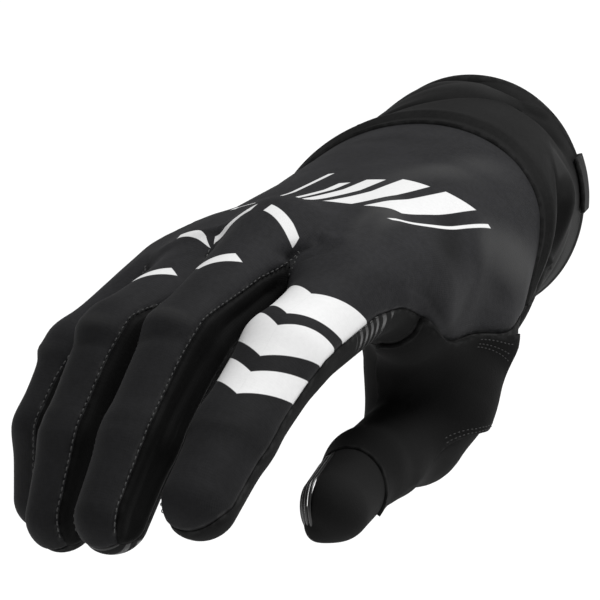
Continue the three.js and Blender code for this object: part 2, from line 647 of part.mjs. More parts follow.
// How far the cuff's cloth stands out at a turn and a share of the length.
function cuffRelief(turn, share) {
  const heights = CUFF_FOLDS.map((fold) => {
    const aside = ((turn - fold.turn + 540) % 360) - 180;
    const off = (share - fold.along - fold.tilt * aside) / fold.breadth;
    return fold.height * Math.exp(-(off ** 2) - (aside / fold.spread) ** 2);
  });
  return ease(share / 0.1) * heights.reduce((total, height) => total + height, 0);
}

function cuffPlace(turn, share) {
  const size = cuffRelief(turn, share);
  const x = CUFF_MIDDLE[0] + (cuffSection(share, "halfWidth") + size) * Math.sin(rad(turn));
  const z = CUFF_MIDDLE[1] + (cuffSection(share, "halfHeight") + size) * Math.cos(rad(turn));
  const leaning = -blend([-z, -CUFF_LEAN_FROM], 4);
  return vec(x, cuffSection(share, "y") + cuffSection(share, "slant") * leaning, z);
}

// Place on the cuff, its way towards the rim and its way out, from places close by.
function cuffFrame(turn, share) {
  const [reach, step] = [1.5, 0.02];
  const round = cuffPlace(turn + reach, share).sub(cuffPlace(turn - reach, share));
  const [above, below] = [Math.min(share + step, 1), Math.max(share - step, 0)];
  const along = cuffPlace(turn, above).sub(cuffPlace(turn, below)).normalize();
  return { place: cuffPlace(turn, share), along, outward: along.clone().cross(round).normalize() };
}

// The cuff's grid: its first row is the wrist seam of the back and the palm.
function cuffRows() {
  const joined = (grids) => grids.flatMap((grid, index) => (index > 0 ? grid[0].slice(1) : grid[0]));
  const corners = [...joined(back), ...joined(palm).slice(1, -1).reverse()];
  const seam = corners.flatMap((number, i) => {
    const [start, end] = [points[number], points[corners[(i + 1) % corners.length]]];
    const pieces = Math.ceil(start.place.distanceTo(end.place) / CUFF_CELL);
    const shares = Array.from({ length: pieces - 1 }, (_, k) => (k + 1) / pieces);
    const added = shares.map((share) => between(start, end, share));
    return [number, ...added.map(keep)];
  });
  const turns = seam.map((number) => {
    const { place } = points[number];
    const across = (place.x - CUFF_MIDDLE[0]) / cuffSection(0, "halfWidth");
    const up = (place.z - CUFF_MIDDLE[1]) / cuffSection(0, "halfHeight");
    return (Math.atan2(across, up) * 180) / Math.PI;
  });
  const aside = seam.map((number, i) => points[number].place.clone().sub(cuffPlace(turns[i], 0)));
  const rows = [seam];
  for (let row = 1; row <= CUFF_ROWS; row += 1) {
    const share = row / CUFF_ROWS;
    rows.push(turns.map((turn, i) => {
      const { place, outward } = cuffFrame(turn, share);
      return keep({ place: place.addScaledVector(aside[i], (1 - share) ** SEAM_FADE), outward });
    }));
  }
  return rows.map((row) => [...row, row[0]]);
}

// The pull tab: a tape that lies on the cuff, bends over the rim and runs back inside.
const TAB = {
  turn: 87, halfTurn: 12.5, columns: 4, outerLeg: 10, innerLeg: 8, overhang: 1.5, gap: 0.5, wall: 1.2,
};
const TAB_BEND = [0, 36, 72, 108, 144, 180]; // angles of its rows over the rim

function tabRows() {
  const bend = CUFF_WALL / 2 + TAB.gap + TAB.wall;
  const legRows = [1, 0.5, 0];
  const path = [
    ...legRows.map((part) => ({ along: -TAB.outerLeg * part, angle: 0 })),
    ...TAB_BEND.map((angle) => ({ along: TAB.overhang + bend * Math.sin(rad(angle)), angle })),
    ...legRows.toReversed().map((part) => ({ along: -TAB.innerLeg * part, angle: 180 })),
  ];
  return path.map(({ along, angle }) =>
    Array.from({ length: TAB.columns + 1 }, (_, column) => {
      const turn = TAB.turn + TAB.halfTurn * (1 - (2 * column) / TAB.columns);
      const frame = cuffFrame(turn, Math.min(1 + along / CUFF_LENGTH, 1));
      frame.place.addScaledVector(frame.along, Math.max(along, 0))
        .addScaledVector(frame.outward, bend * Math.cos(rad(angle)) - CUFF_WALL / 2);
      const outward = frame.outward.multiplyScalar(Math.cos(rad(angle)))
        .addScaledVector(frame.along, Math.sin(rad(angle)));
      return keep({ place: frame.place, outward: outward.normalize() });
    }));
}

// The back and the palm are one cloth each. Their fingers are nodes of their own, so that
// collision follows the hollow of each finger.
const handRows = [0, HAND_ROWS];
const fingerRows = [HAND_ROWS, LAST_ROW];
const { from, to, columns } = THUMB_HOLE;
const inHole = (row, column) => row >= from && row < to && column < columns;
const palmHole = (index) => (index === 0 ? inHole : undefined);
const handCells = palm.flatMap((grid, index) => cells(grid, handRows, true, palmHole(index)));
add("back_panel", wall(back.flatMap((grid) => cells(grid, handRows)), CLOTH_WALL), 0x1b1b1d, 0.75);
add("palm_panel", wall(handCells, SUEDE_WALL), 0x121213, 0.9);
fingers.forEach(({ name }, index) => {
  add("back_of_" + name, wall(cells(back[index], fingerRows), CLOTH_WALL), 0x1b1b1d, 0.75);
  const underside = wall(cells(palm[index], fingerRows, true), SUEDE_WALL, { gap: UNDERSIDE_GAP });
  add("palm_of_" + name, underside, 0x121213, 0.9);
});
["index_middle", "middle_ring", "ring_little"].forEach((pair, index) => {
  const strip = sideStrip(index);
  const stripWall = wall(cells(strip, [0, strip.length - 1], true), STRIP_WALL, { gap: STRIP_GAP });
  add("side_strip_" + pair, stripWall, 0x0d0d0e, 0.85);
});

// The patch lies over the thumb's outer side. Rows run from the hand to the thumb's tip: the ring
// that a row follows, the columns where it starts and ends, how high it lies and how far its end
// stands proud of that.
const PATCH_ROWS = [
  { ring: 0.2, start: -1.2, end: 6.6, lift: 1.7, proud: 0.6 },
  { ring: 1, start: -1.5, end: 5.9, lift: 0.6, proud: 0.9 },
  { ring: 2, start: -1.7, end: 6.2, lift: 0.5, proud: 2 },
  { ring: 3, start: -2, end: 4.9, lift: 0.9, proud: 0.6 },
  { ring: 4, start: -2.2, end: 4.5, lift: 1.2, proud: 0 },
  { ring: 5, start: -2.4, end: 5.2, lift: 0.6, proud: 0 },
  { ring: 6, start: -2.5, end: 5.7, lift: 0.4, proud: 0 },
  { ring: 7, start: -2.5, end: 6, lift: 0.4, proud: 0 },
  { ring: 7.6, start: -2.5, end: 6, lift: 0.5, proud: 0.3 },
];
const PATCH_LAST_RING = 8; // the sleeve is drawn in under the patch up to this ring
const PATCH_ROOM = 2.3; // how far it is drawn in

// Point between the thumb's rings and columns.
function thumbPoint(rings, ring, column) {
  const turned = (column + 16) % 16;
  const [r, c] = [Math.floor(ring), Math.floor(turned)];
  const corner = (i, k) => points[rings[i][k]];
  const near = between(corner(r, c), corner(r, c + 1), turned - c);
  const far = between(corner(r + 1, c), corner(r + 1, c + 1), turned - c);
  return between(near, far, ring - r);
}

function patchRows(rings) {
  return PATCH_ROWS.map(({ ring, start, end, lift, proud }) =>
    [start, mix(start, -1, 0.5), -1, 0, 1, 2, 3, 4, mix(4, end, 0.5), end].map((column, number, all) => {
      const { place, outward } = thumbPoint(rings, ring, column);
      const height = lift + proud * (number / (all.length - 1)) ** 6;
      return keep({ place: place.addScaledVector(outward, height), outward });
    }));
}

const thumb = thumbRings();
const ringOf = new Map(thumb.flatMap((ring, number) => ring.map((point) => [point, number])));
const drawnIn = (point) => {
  const ring = ringOf.get(point);
  return ring >= 1 && ring <= PATCH_LAST_RING ? -PATCH_ROOM : 0;
};
const sleeveCells = cells(thumb, [0, thumb.length - 1], true);
add("thumb_sleeve", wall(sleeveCells, CLOTH_WALL, { raise: drawnIn, gap: SLEEVE_GAP }), 0x171718, 0.8);
const patch = patchRows(thumb);
add("thumb_patch", wall(cells(patch, [0, patch.length - 1], true), PATCH_WALL, { gap: 0 }), 0x0f0f10, 0.95);
const cuff = cuffRows();
add("cuff", wall(cells(cuff, [0, CUFF_ROWS]), CUFF_WALL, { gap: CUFF_GAP }), 0x161618, 0.85);
const tab = tabRows();
add("pull_tab", wall(cells(tab, [0, tab.length - 1]), TAB.wall, { gap: 0 }), 0x101011, 0.7);

export default glove;
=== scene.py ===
# %% [markdown]
# A riding glove for the right hand, kept in the shape of the hand that wears it. The CAD model gives its
# true sizes and where each piece is. This lesson dresses it: every cloth panel is made again on a fine
# grid over the same hand shape, then sewn, printed and lit.

import bpy
import numpy as np
from mathutils import Matrix


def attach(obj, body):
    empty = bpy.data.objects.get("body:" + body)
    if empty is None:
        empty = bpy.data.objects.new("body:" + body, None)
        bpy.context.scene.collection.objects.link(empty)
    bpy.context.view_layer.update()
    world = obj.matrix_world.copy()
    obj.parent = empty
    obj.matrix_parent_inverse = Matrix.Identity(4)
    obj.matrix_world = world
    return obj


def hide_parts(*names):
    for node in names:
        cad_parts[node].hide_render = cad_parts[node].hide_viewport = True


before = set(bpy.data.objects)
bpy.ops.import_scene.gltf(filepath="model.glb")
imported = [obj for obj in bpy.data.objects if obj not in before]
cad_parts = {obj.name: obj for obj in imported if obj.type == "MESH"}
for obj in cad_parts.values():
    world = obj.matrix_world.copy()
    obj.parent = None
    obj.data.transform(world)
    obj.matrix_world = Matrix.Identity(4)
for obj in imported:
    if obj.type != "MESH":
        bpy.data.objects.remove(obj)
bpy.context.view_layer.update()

print("CAD nodes:", sorted(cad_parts))

# %% [markdown]
# The glove keeps the shape of a hand, so the hand comes first. It could be sculpted, but then the cloth
# would have to be fitted to it by eye. Here the hand is a distance instead: a function that gives, for any
# point, how far it is from the skin, less than nothing inside. The CAD model comes from the same function,
# so a finer grid on it keeps the same sizes. Round bars that taper make the fingers, a flattened tube
# makes the palm, and a soft minimum joins them without a crease.

# %% Sizes of the hand, in millimetres and degrees
FINGERS = [
    dict(name="index", knuckle=(17, -82, 2), splay=-9, drop=(11.5, 28, 34), bone=(46.5, 28, 20.5),
         radius=(12.6, 11.2, 10.1, 9.2), crotch=(20, 20)),
    dict(name="middle", knuckle=(-6.5, -86, 12.5), splay=-9, drop=(17.5, 38, 44), bone=(49, 30, 20.5),
         radius=(12.2, 10.9, 9.9, 9.0), crotch=(17, 15)),
    dict(name="ring", knuckle=(-27.5, -82, 4), splay=-12, drop=(9, 44, 58), bone=(44.5, 28.5, 20),
         radius=(12.4, 10.8, 9.7, 8.8), crotch=(16, 16)),
    dict(name="little", knuckle=(-47, -75.5, 0), splay=-21, drop=(17, 49, 75), bone=(35.5, 22, 18),
         radius=(11.8, 10.2, 9.3, 8.4), crotch=(18, 18)),
]
FINGER_GAP = 0.9
THUMB_JOINTS = np.array([(13, -23, -19), (10.5, -57, -49), (11, -91.5, -47.5), (12.5, -115, -50)], float)
THUMB_RADIUS = (16, 11.6, 10.2, 9.1)
PALM_COLUMNS = ("y", "x", "z", "half width", "half height", "arch", "power")
PALM_SECTIONS = np.array([
    (-90, -14, 1, 40, 9.5, 8, 2.4),
    (-75, -13, 2, 43, 12.5, 6.5, 2.4),
    (-55, -10, 1, 41.5, 16, 4, 2.4),
    (-30, -7, 0, 41, 22, 2, 2.2),
    (-8, -5, 0, 42, 28, 0, 2),
    (14, -5, 0, 43, 30, 0, 2),
])
FILLS = [  # two ends and their radii: the flesh between the thumb and the palm
    ((6, -32, -14), (9, -50, -28), 15, 8),
    ((16, -25, -12), (19, -70, -8), 15, 11),
    ((21, -36, -28), (19, -47.5, -41), 11.5, 8.8),
    ((14, -45, -36), (20, -73, -7), 8.5, 8),
]
WEB_EDGES = np.array([(2, -96.5, 4.5), (-22.7, -93.5, 5.6), (-44, -87.5, 1)])
WEB_ROOT_SHIFT, WEB_ROOT_RADIUS, WEB_RADIUS = (0, 10, -3), 9, 7
ARCH_REACH = 1.3
ROUNDING = dict(bones=1, flesh=5, webs=3, finger=3, gap=0.7, thumb=2, valley=0.5, hand=3)
print("hand:", len(FINGERS), "fingers,", len(FILLS), "fills")


# %% Small helpers for whole arrays
def unit(v):
    """Each vector divided by its own length."""
    return v / np.maximum(np.linalg.norm(v, axis=-1, keepdims=True), 1e-9)


def ease(t):
    """Rises from 0 to 1 with level ends: t squared times 3 - 2 t."""
    t = np.clip(t, 0, 1)
    return t * t * (3 - 2 * t)


def mix(a, b, t):
    """a where t is 0, b where t is 1, straight between."""
    return a + (b - a) * t


def wide(t):
    """A last axis of one, so that a share multiplies points."""
    return np.asarray(t, float)[..., None]


def sine(degrees):
    """Sine of an angle in degrees."""
    return np.sin(np.radians(degrees))


def cosine(degrees):
    """Cosine of an angle in degrees."""
    return np.cos(np.radians(degrees))


def wrapped(value, full):
    """The same place on a ring of a given length, as a value from minus half of it to half of it."""
    return (value + 1.5 * full) % full - full / 2


def between(x, places, points):
    """The point at x on a broken line through the points, whose corners are at the places."""
    return np.stack([np.interp(x, places, points[:, k]) for k in range(3)], -1)


def smooth_table(x, places, values, reach):
    """Straight steps between the table's rows, averaged over the reach on both sides."""
    return np.mean([np.interp(x + d, places, values) for d in np.linspace(-reach, reach, 9)], 0)


print("a quarter of the way, eased:", ease(0.25))


# %% Bars, soft joins and the palm
def bar(p, a, b, radius_a, radius_b):
    """Distance to the nearest point of the line from a to b, less a radius that tapers along it."""
    a, b = np.asarray(a, float), np.asarray(b, float)
    axis = b - a
    t = np.clip((p - a) @ axis / (axis @ axis), 0, 1)
    return np.linalg.norm(p - a - wide(t) * axis, axis=-1) - mix(radius_a, radius_b, t)


def blend(distances, rounding):
    """Soft minimum: the least, less rounding times the log of the sum of exp of how far each is above."""
    stack = np.stack(distances)
    least = stack.min(0)
    return least - rounding * np.log(np.exp((least - stack) / rounding).sum(0))


def section(y, column):
    """A column of the palm's table at y, straight between its rows."""
    return np.interp(y, PALM_SECTIONS[:, 0], PALM_SECTIONS[:, PALM_COLUMNS.index(column)])


def palm_distance(p):
    """A tube whose section is |x/a|^n + |z/b|^n = 1, with its middle arched up over its edges."""
    y = np.clip(p[..., 1], PALM_SECTIONS[0, 0], PALM_SECTIONS[-1, 0])
    half_width, half_height, power = (section(y, c) for c in ("half width", "half height", "power"))
    dx = p[..., 0] - section(y, "x")
    arch = section(y, "arch") * (1 - np.clip(dx / half_width, -ARCH_REACH, ARCH_REACH) ** 2)
    dz = p[..., 2] - section(y, "z") - arch
    size = (np.abs(dx / half_width) ** power + np.abs(dz / half_height) ** power) ** (1 / power)
    in_plane = (size - 1) * np.hypot(dx, dz) / np.maximum(size, 1e-6)
    past = np.abs(p[..., 1] - y)
    return np.where(past > 0, np.hypot(np.maximum(in_plane, 0), past), in_plane)


above_palm = palm_distance(np.array([0.0, -55, 30]))
print("30 mm above the palm's middle:", round(float(above_palm), 1), "mm off the skin")


# %% Bones, fingers and thumb
def bone_way(aim, drop):
    """Forwards, turned sideways by the aim and down by the drop, both in radians."""
    return np.stack([np.sin(aim) * np.cos(drop), -np.cos(aim) * np.cos(drop), -np.sin(drop)], -1)


def skeleton(finger):
    """Joints one after another: each bone turns sideways by splay and down by its own drop."""
    aim = np.radians(finger["splay"])
    steps = bone_way(aim, np.radians(finger["drop"]))
    joints = np.vstack([np.zeros(3), np.cumsum(steps * wide(finger["bone"]), 0)]) + finger["knuckle"]
    side = np.array([np.cos(aim), np.sin(aim), 0])
    return dict(finger, aim=aim, joints=joints, side=side, total=sum(finger["bone"]))


def chain(p, joints, radius):
    """Three bars end to end, softly joined."""
    bars = [bar(p, joints[i], joints[i + 1], radius[i], radius[i + 1]) for i in range(3)]
    return blend(bars, ROUNDING["bones"])


fingers = [skeleton(finger) for finger in FINGERS]


# %% The hand as a distance
def body_distance(p):
    """Palm, ball of the thumb and the flesh between them, then the webs between the fingers."""
    parts = [palm_distance(p), bar(p, THUMB_JOINTS[0], THUMB_JOINTS[1], THUMB_RADIUS[0], THUMB_RADIUS[1])]
    parts += [bar(p, *fill) for fill in FILLS]
    pairs = [(fingers[i]["joints"][0], fingers[i + 1]["joints"][0]) for i in range(3)]
    roots = [(near + far) / 2 + WEB_ROOT_SHIFT for near, far in pairs]
    webs = [bar(p, root, edge, WEB_ROOT_RADIUS, WEB_RADIUS) for root, edge in zip(roots, WEB_EDGES)]
    return blend([blend(parts, ROUNDING["flesh"]), *webs], ROUNDING["webs"])


def finger_distance(index):
    """The body with one finger, which is cut back half the gap from the fingers beside it."""
    def distance(p):
        """Soft minimum of the body and of the finger less its cuts."""
        own = chain(p, fingers[index]["joints"], fingers[index]["radius"])
        beside = [fingers[i] for i in (index - 1, index + 1) if 0 <= i < 4]
        cuts = [-(own - chain(p, f["joints"], f["radius"]) + FINGER_GAP) / 2 for f in beside]
        return blend([body_distance(p), -blend([-own, *cuts], ROUNDING["gap"])], ROUNDING["finger"])
    return distance


def thumb_distance(p):
    """The body with the thumb."""
    return blend([body_distance(p), chain(p, THUMB_JOINTS, THUMB_RADIUS)], ROUNDING["thumb"])


def valley_distance(index):
    """Two fingers that are side by side."""
    return lambda p: blend([finger_distance(i)(p) for i in (index, index + 1)], ROUNDING["valley"])


def hand_distance(p):
    """The body with all four fingers, for the part of the hand where they are still one."""
    chains = [chain(p, f["joints"], f["radius"]) for f in fingers]
    return blend([body_distance(p), *chains], ROUNDING["hand"])


print("thumb tip is", round(float(-thumb_distance(THUMB_JOINTS[-1])), 1), "mm under the skin")

# %% [markdown]
# Each point of the cloth is where a ray from the bones comes out of the skin. A Shrinkwrap modifier could
# lay a sheet on a mesh of the hand too, but it bunches up the cells between the fingers. With rays, every
# row and column has a way of its own. All rays of a grid are marched together as one array, then halved
# down to the exact place.


# %% Rays and settling
def cast(distance, origin, way, reach=90, step=1.5, halvings=14):
    """Steps outwards until the distance turns positive, then halves the last step again and again."""
    origin, way = np.broadcast_arrays(origin, unit(way))
    inside = np.zeros(origin.shape[:-1])
    outside = np.full(origin.shape[:-1], float(reach))
    going = np.ones(origin.shape[:-1], bool)
    for far in np.arange(step, reach, step):
        out = distance(origin[going] + way[going] * far) > 0
        hit = np.zeros_like(going)
        hit[going] = out
        outside[hit] = far
        inside[going & ~hit] = far
        going &= ~hit
        if not going.any():
            break
    for _ in range(halvings):
        middle = (inside + outside) / 2
        out = distance(origin + way * wide(middle)) > 0
        outside = np.where(out, middle, outside)
        inside = np.where(out, inside, middle)
    return origin + way * wide((inside + outside) / 2)


def slope(distance, p, reach=0.4):
    """Way in which the distance grows fastest, from differences along the three axes."""
    steps = np.eye(3) * reach
    return unit(np.stack([distance(p + s) - distance(p - s) for s in steps], -1))


def settle(distance, p, rounds=5, longest=3):
    """Moves each point along the slope by its distance, so that it lands on the skin."""
    for _ in range(rounds):
        p = p - slope(distance, p) * wide(np.clip(distance(p), -longest, longest))
    return p


UPWARDS = np.array([0.0, 0, 1])
print("back of the hand:", np.round(cast(hand_distance, np.array([[-8.0, -50, 0]]), UPWARDS), 1).tolist())

# %% [markdown]
# On a real glove the back and the palm are each cut flat in one piece, with four fingers, and sewn together
# at the sides. So both are grids here: rows run from the wrist to the fingertips, and columns go round each
# finger. The rows and columns are those of the CAD model, with eight fine cells to each of its cells.

# %% Rows and columns of the cloth
FINE = 8
HAND_ROWS, KNUCKLE_ROW, FINGER_ROWS, LAST_ROW = 10, 8, 9, 22
TURNING_ROW = 6
HOLE_FROM, HOLE_TO, HOLE_COLUMNS = 2, 8, 2
BACK, PALM = 1, -1
ANGLES = {  # turn of each column round its finger
    BACK: [
        (100, 76, 50, 22, -8, -37, -65),
        (46, 24, 0, -33, -65),
        (38, 20, -2, -33, -65),
        (30, 16, -2, -28, -59, -90),
    ],
    PALM: [
        (80, 60, 38, 14, -12, -38, -65),
        (65, 33, 0, -33, -65),
        (65, 33, 0, -33, -65),
        (65, 35, 4, -28, -59, -90),
    ],
}
IN_HAND = {  # column: turn that it keeps in the hand, for the columns outside the valleys
    BACK: [{0: 125, 1: 108, 2: 84, 3: 45}, {}, {}, {3: -28, 4: -59, 5: -90}],
    PALM: [{0: 55, 1: 24, 2: 8}, {}, {}, {3: -28, 4: -59, 5: -90}],
}
rows = np.arange(LAST_ROW * FINE + 1) / FINE
hand_rows = rows[rows <= HAND_ROWS]
finger_rows = rows[rows >= HAND_ROWS]
print("rows:", len(hand_rows), "in the hand,", len(finger_rows), "on a finger")

# %% Lines along the bones
JOINT_BEND = 12
WRIST_Y = -5
WRIST_SPREAD = (0.62, 0.2, -0.2, -0.62)


def bone_frame(finger, distance):
    """Place on the bones at a distance from the knuckle, the way along and the way up there.
    The way turns over a short stretch at each joint."""
    start, place = 0, finger["joints"][0] + 0 * wide(distance)
    drop = np.radians(finger["drop"][0]) + 0 * np.asarray(distance, float)
    for i, length in enumerate(finger["bone"]):
        t = np.clip((distance - start) / length, -1 if i == 0 else 0, 1)
        on_bone = mix(finger["joints"][i], finger["joints"][i + 1], wide(t))
        place = np.where(wide(distance) > start, on_bone, place) if i else on_bone
        if i:
            change = np.radians(finger["drop"][i] - finger["drop"][i - 1])
            drop = drop + change * ease((distance - start + JOINT_BEND / 2) / JOINT_BEND)
        start += length
    along = bone_way(finger["aim"], drop)
    return place, along, unit(-np.cross(np.broadcast_to(finger["side"], along.shape), along))


def hand_line(index, row):
    """From the finger's own place at the wrist to its knuckle, then along the first bone."""
    finger = fingers[index]
    x = section(WRIST_Y, "x") + WRIST_SPREAD[index] * section(WRIST_Y, "half width")
    to_knuckle = mix(np.array([x, WRIST_Y, 0]), finger["joints"][0], wide(row / KNUCKLE_ROW))
    reach = sum(finger["crotch"]) / 2 * (row - KNUCKLE_ROW) / (HAND_ROWS - KNUCKLE_ROW)
    return np.where(wide(row) < KNUCKLE_ROW, to_knuckle, bone_frame(finger, reach)[0])


def ring_way(up, side, turn, facing):
    """Way round a finger: up times the cosine of the turn plus side times its sine."""
    return up * wide(facing * cosine(turn)) + side * wide(sine(turn))


print("middle finger's line starts at", np.round(hand_line(1, hand_rows)[0], 1).tolist())

# %% How the rays turn in the hand
WRIST_LEAN = {BACK: (0.55, 6), PALM: (0.3, 3)}  # slant at the wrist, row from which it is level
ROOM_ASIDE, FULL_ROOM_ROW, ROOM_POWER, ROOM_COLUMNS = 31, 3, 1.6, 14
PALM_COLUMN_START = (0, 6, 10, 14)


def turning(row):
    """0 at the row where the columns begin to turn, 1 at the end of the hand."""
    return (row - TURNING_ROW) / (HAND_ROWS - TURNING_ROW)


def room_aside(row, column):
    """How far a palm column makes room for the ball of the thumb, in mm: up over the first rows, back to
    nothing at the end of the hole, and less for each column further off."""
    from_full = np.clip((row - FULL_ROOM_ROW) / (HOLE_TO - HOLE_FROM), 0, 1)
    along = np.minimum(row / FULL_ROOM_ROW, 1) * (1 - from_full ** ROOM_POWER)
    past_hole = 1 - (column - HOLE_COLUMNS) / ROOM_COLUMNS
    beside = np.where(column <= HOLE_COLUMNS, column / HOLE_COLUMNS, past_hole)
    return ROOM_ASIDE * along * np.maximum(beside, 0)


def leaning(row, facing):
    """Up or down, leaning at the wrist and level further on."""
    slant, level = WRIST_LEAN[facing]
    lean = facing * slant * (1 - ease(row / level))
    return np.stack([0 * lean, lean, facing + 0 * lean], -1)


print("most room beside the thumb:", round(float(room_aside(hand_rows, HOLE_COLUMNS).max()), 1), "mm")

# %% Lines of the hand: outer columns and valleys
THUMB_SIDE_PULL = (1, 0.75, 0.3, 0)
THUMB_SIDE_X, THUMB_SIDE_Z = 14, -10
VALLEY_LEAN = 0.5
WEB_AHEAD, WEB_UP = 0.6, 0.8


def fixed_line(index, column, facing):
    """A column that keeps its own angle in the hand and turns into its angle on the finger."""
    finger, row = fingers[index], hand_rows
    angles = ANGLES[facing][index]
    share = ease(turning(row))
    origin = hand_line(index, row)
    if index == 0:
        aside = np.stack([THUMB_SIDE_X + 0 * row, origin[:, 1], THUMB_SIDE_Z + 0 * row], -1)
        origin = mix(origin, aside, wide((1 - share) * THUMB_SIDE_PULL[column]))
    if facing == PALM:
        origin = origin - wide(room_aside(row, PALM_COLUMN_START[index] + column)) * (1, 0, 0)
    crotch = mix(*finger["crotch"], column / (len(angles) - 1))
    _, _, up = bone_frame(finger, crotch + 0 * row)
    ring = ring_way(up, finger["side"], angles[column] + 0 * row, facing)
    turn = IN_HAND[facing][index][column]
    way = leaning(row, facing) * cosine(turn) + np.array([sine(turn), 0, 0])
    return cast(finger_distance(index), origin, mix(way, ring, wide(share)))


def valley_line(index, facing):
    """The bottom of the valley between two fingers, from the wrist to the edge of the web."""
    row = hand_rows
    near, far = hand_line(index, row), hand_line(index + 1, row)
    reach = np.clip(turning(row), 0, 1) ** 2
    origin = mix((near + far) / 2, WEB_EDGES[index], wide(reach))
    if facing == PALM:
        origin = origin - wide(room_aside(row, PALM_COLUMN_START[index + 1])) * (1, 0, 0)
    lean = (far[:, 2] - near[:, 2]) / (near[:, 0] - far[:, 0])
    way = leaning(row, facing)
    way = way + np.stack([facing * lean * reach, -VALLEY_LEAN * reach ** 3, 0 * reach], -1)
    line = cast(valley_distance(index), origin, way)
    edge = cast(body_distance, WEB_EDGES[index], np.array([0, -WEB_AHEAD, WEB_UP * facing]))
    last = row > HAND_ROWS - 1
    start = line[np.flatnonzero(~last)[-1]]
    line[last] = mix(start, edge, wide(row[last] - HAND_ROWS + 1))
    line[last] = settle(valley_distance(index), line[last])
    line[-1] = edge
    return line


back_valleys, palm_valleys = ([valley_line(i, facing) for i in range(3)] for facing in (BACK, PALM))
crotches = np.array([valley[-1] for valley in back_valleys])
print("crotches at:", np.round(crotches, 1).tolist())

# %% Rays between the lines and round the fingers
RAY_START = 0.3
WEB_TURN, WEB_TURN_ROWS = 68, 5
TIP_LEAN = 0.4


def ruled(index, left, right, share, row):
    """Points between two lines of the hand: the ray aims at the place between them."""
    share = share[None, :]
    origin = np.repeat(hand_line(index, row)[:, None], share.shape[1], 1)
    aim = mix(left[:, None], right[:, None], wide(share))
    origin[..., 0] = (origin[..., 0] + aim[..., 0]) / 2
    aim[..., 1] = mix(aim[..., 1], origin[..., 1], wide(ease(turning(row))) * 4 * share * (1 - share))
    return cast(finger_distance(index), origin + RAY_START * (aim - origin), aim - origin)


def finger_face(index, facing, row):
    """Back or underside of a finger: rings round the bone, then a fan over the fingertip."""
    finger, angles = fingers[index], np.array(ANGLES[facing][index], float)
    column = np.arange((len(angles) - 1) * FINE + 1) / FINE
    numbers = np.arange(len(angles))
    angle = np.interp(column, numbers, angles)[None, :]
    level = np.interp(column, numbers, (angles + ANGLES[-facing][index]) / 2)[None, :]
    crotch = mix(*finger["crotch"], column / numbers[-1])[None, :]
    row = row[:, None] + 0 * angle
    if facing == BACK and index > 0:
        from_web = (1 - ease((row - HAND_ROWS) / WEB_TURN_ROWS)) * np.clip(1 - column, 0, 1)
        angle = angle + (WEB_TURN - angles[0]) * from_web
    along = np.clip((row - HAND_ROWS) / FINGER_ROWS, 0, 1)
    tip = np.clip((row - HAND_ROWS - FINGER_ROWS) / (LAST_ROW - HAND_ROWS - FINGER_ROWS), 0, 1)
    place, forward, up = bone_frame(finger, mix(crotch, finger["total"], along))
    turn, lift = mix(angle, level, tip), 90 * tip
    lean = np.tan(np.radians(TIP_LEAN * lift)) * np.abs(sine(turn))
    way = up * wide(facing * cosine(turn) * cosine(lift)) + finger["side"] * wide(sine(turn))
    way = way + forward * wide(cosine(turn) * sine(lift) + lean)
    return cast(finger_distance(index), place, way)


print("columns on the index finger:", finger_face(0, BACK, finger_rows[-1:]).shape[1])


# %% Faces of the hand and the fingers
def web_join(index, finger, valleys):
    """The first finger rows run straight from the edge of the web to the finger's own ring."""
    near = finger_rows < HAND_ROWS + 1
    share = wide(finger_rows[near] - HAND_ROWS)
    first = finger[FINE]
    for column, valley in ((0, index - 1), (-1, index)):
        if 0 <= valley < 3:
            line = mix(valleys[valley][-1], first[column], share)
            finger[near, column] = settle(finger_distance(index), line)
            finger[0, column] = valleys[valley][-1]
    return finger


def face(index, facing, valleys):
    """One finger's share of the back or the palm, as rows from the wrist to the fingertip."""
    columns = len(ANGLES[facing][index])
    known = {c: fixed_line(index, c, facing) for c in IN_HAND[facing][index]}
    if index > 0:
        known[0] = valleys[index - 1]
    if index < 3:
        known[columns - 1] = valleys[index]
    hand = np.zeros((len(hand_rows), (columns - 1) * FINE + 1, 3))
    stops = sorted(known)
    for a, b in zip(stops, stops[1:]):
        share = np.arange((b - a) * FINE + 1) / ((b - a) * FINE)
        hand[:, a * FINE:b * FINE + 1] = ruled(index, known[a], known[b], share, hand_rows)
    for c in stops:
        hand[:, c * FINE] = known[c]
    finger = finger_face(index, facing, finger_rows)
    join = hand_rows > HAND_ROWS - 1
    share = wide(wide(hand_rows[join] - HAND_ROWS + 1))
    inner = slice(1 if index > 0 else 0, -1 if index < 3 else None)
    straight = mix(hand[~join][-1][None], finger[0][None], share)
    hand[join, inner] = settle(finger_distance(index), straight)[:, inner]
    finger = web_join(index, finger, valleys)
    return np.concatenate([hand, finger[1:]])


back = [face(i, BACK, back_valleys) for i in range(4)]
palm = [face(i, PALM, palm_valleys) for i in range(4)]
print("back and palm:", sum(g.shape[0] * g.shape[1] for g in back + palm), "points")

# %% Seams that the back and the palm share
COMMON_ROW, COMMON_FADE = 6.5, 2.5


def even_out(grid):
    """Near the wrist all columns settle on one common skin, so that no crease marks their lines."""
    count = len(hand_rows)
    share = 1 - ease((hand_rows - COMMON_ROW) / COMMON_FADE)
    grid[:count] = mix(grid[:count], settle(hand_distance, grid[:count]), wide(wide(share)))
    return grid


def share_seam(index, column):
    """Back and palm meet halfway between their own lines, except along the thumb hole."""
    own_back, own_palm = back[index][:, column], palm[index][:, column]
    half = settle(finger_distance(index), (own_back + own_palm) / 2)
    from_ends = np.minimum(np.clip(rows - HOLE_FROM, 0, 1), np.clip(HOLE_TO - rows, 0, 1))
    seam = mix(half, own_back, wide(from_ends if index == 0 else 0 * rows))
    back[index][:, column] = seam
    palm[index][:, column] = seam


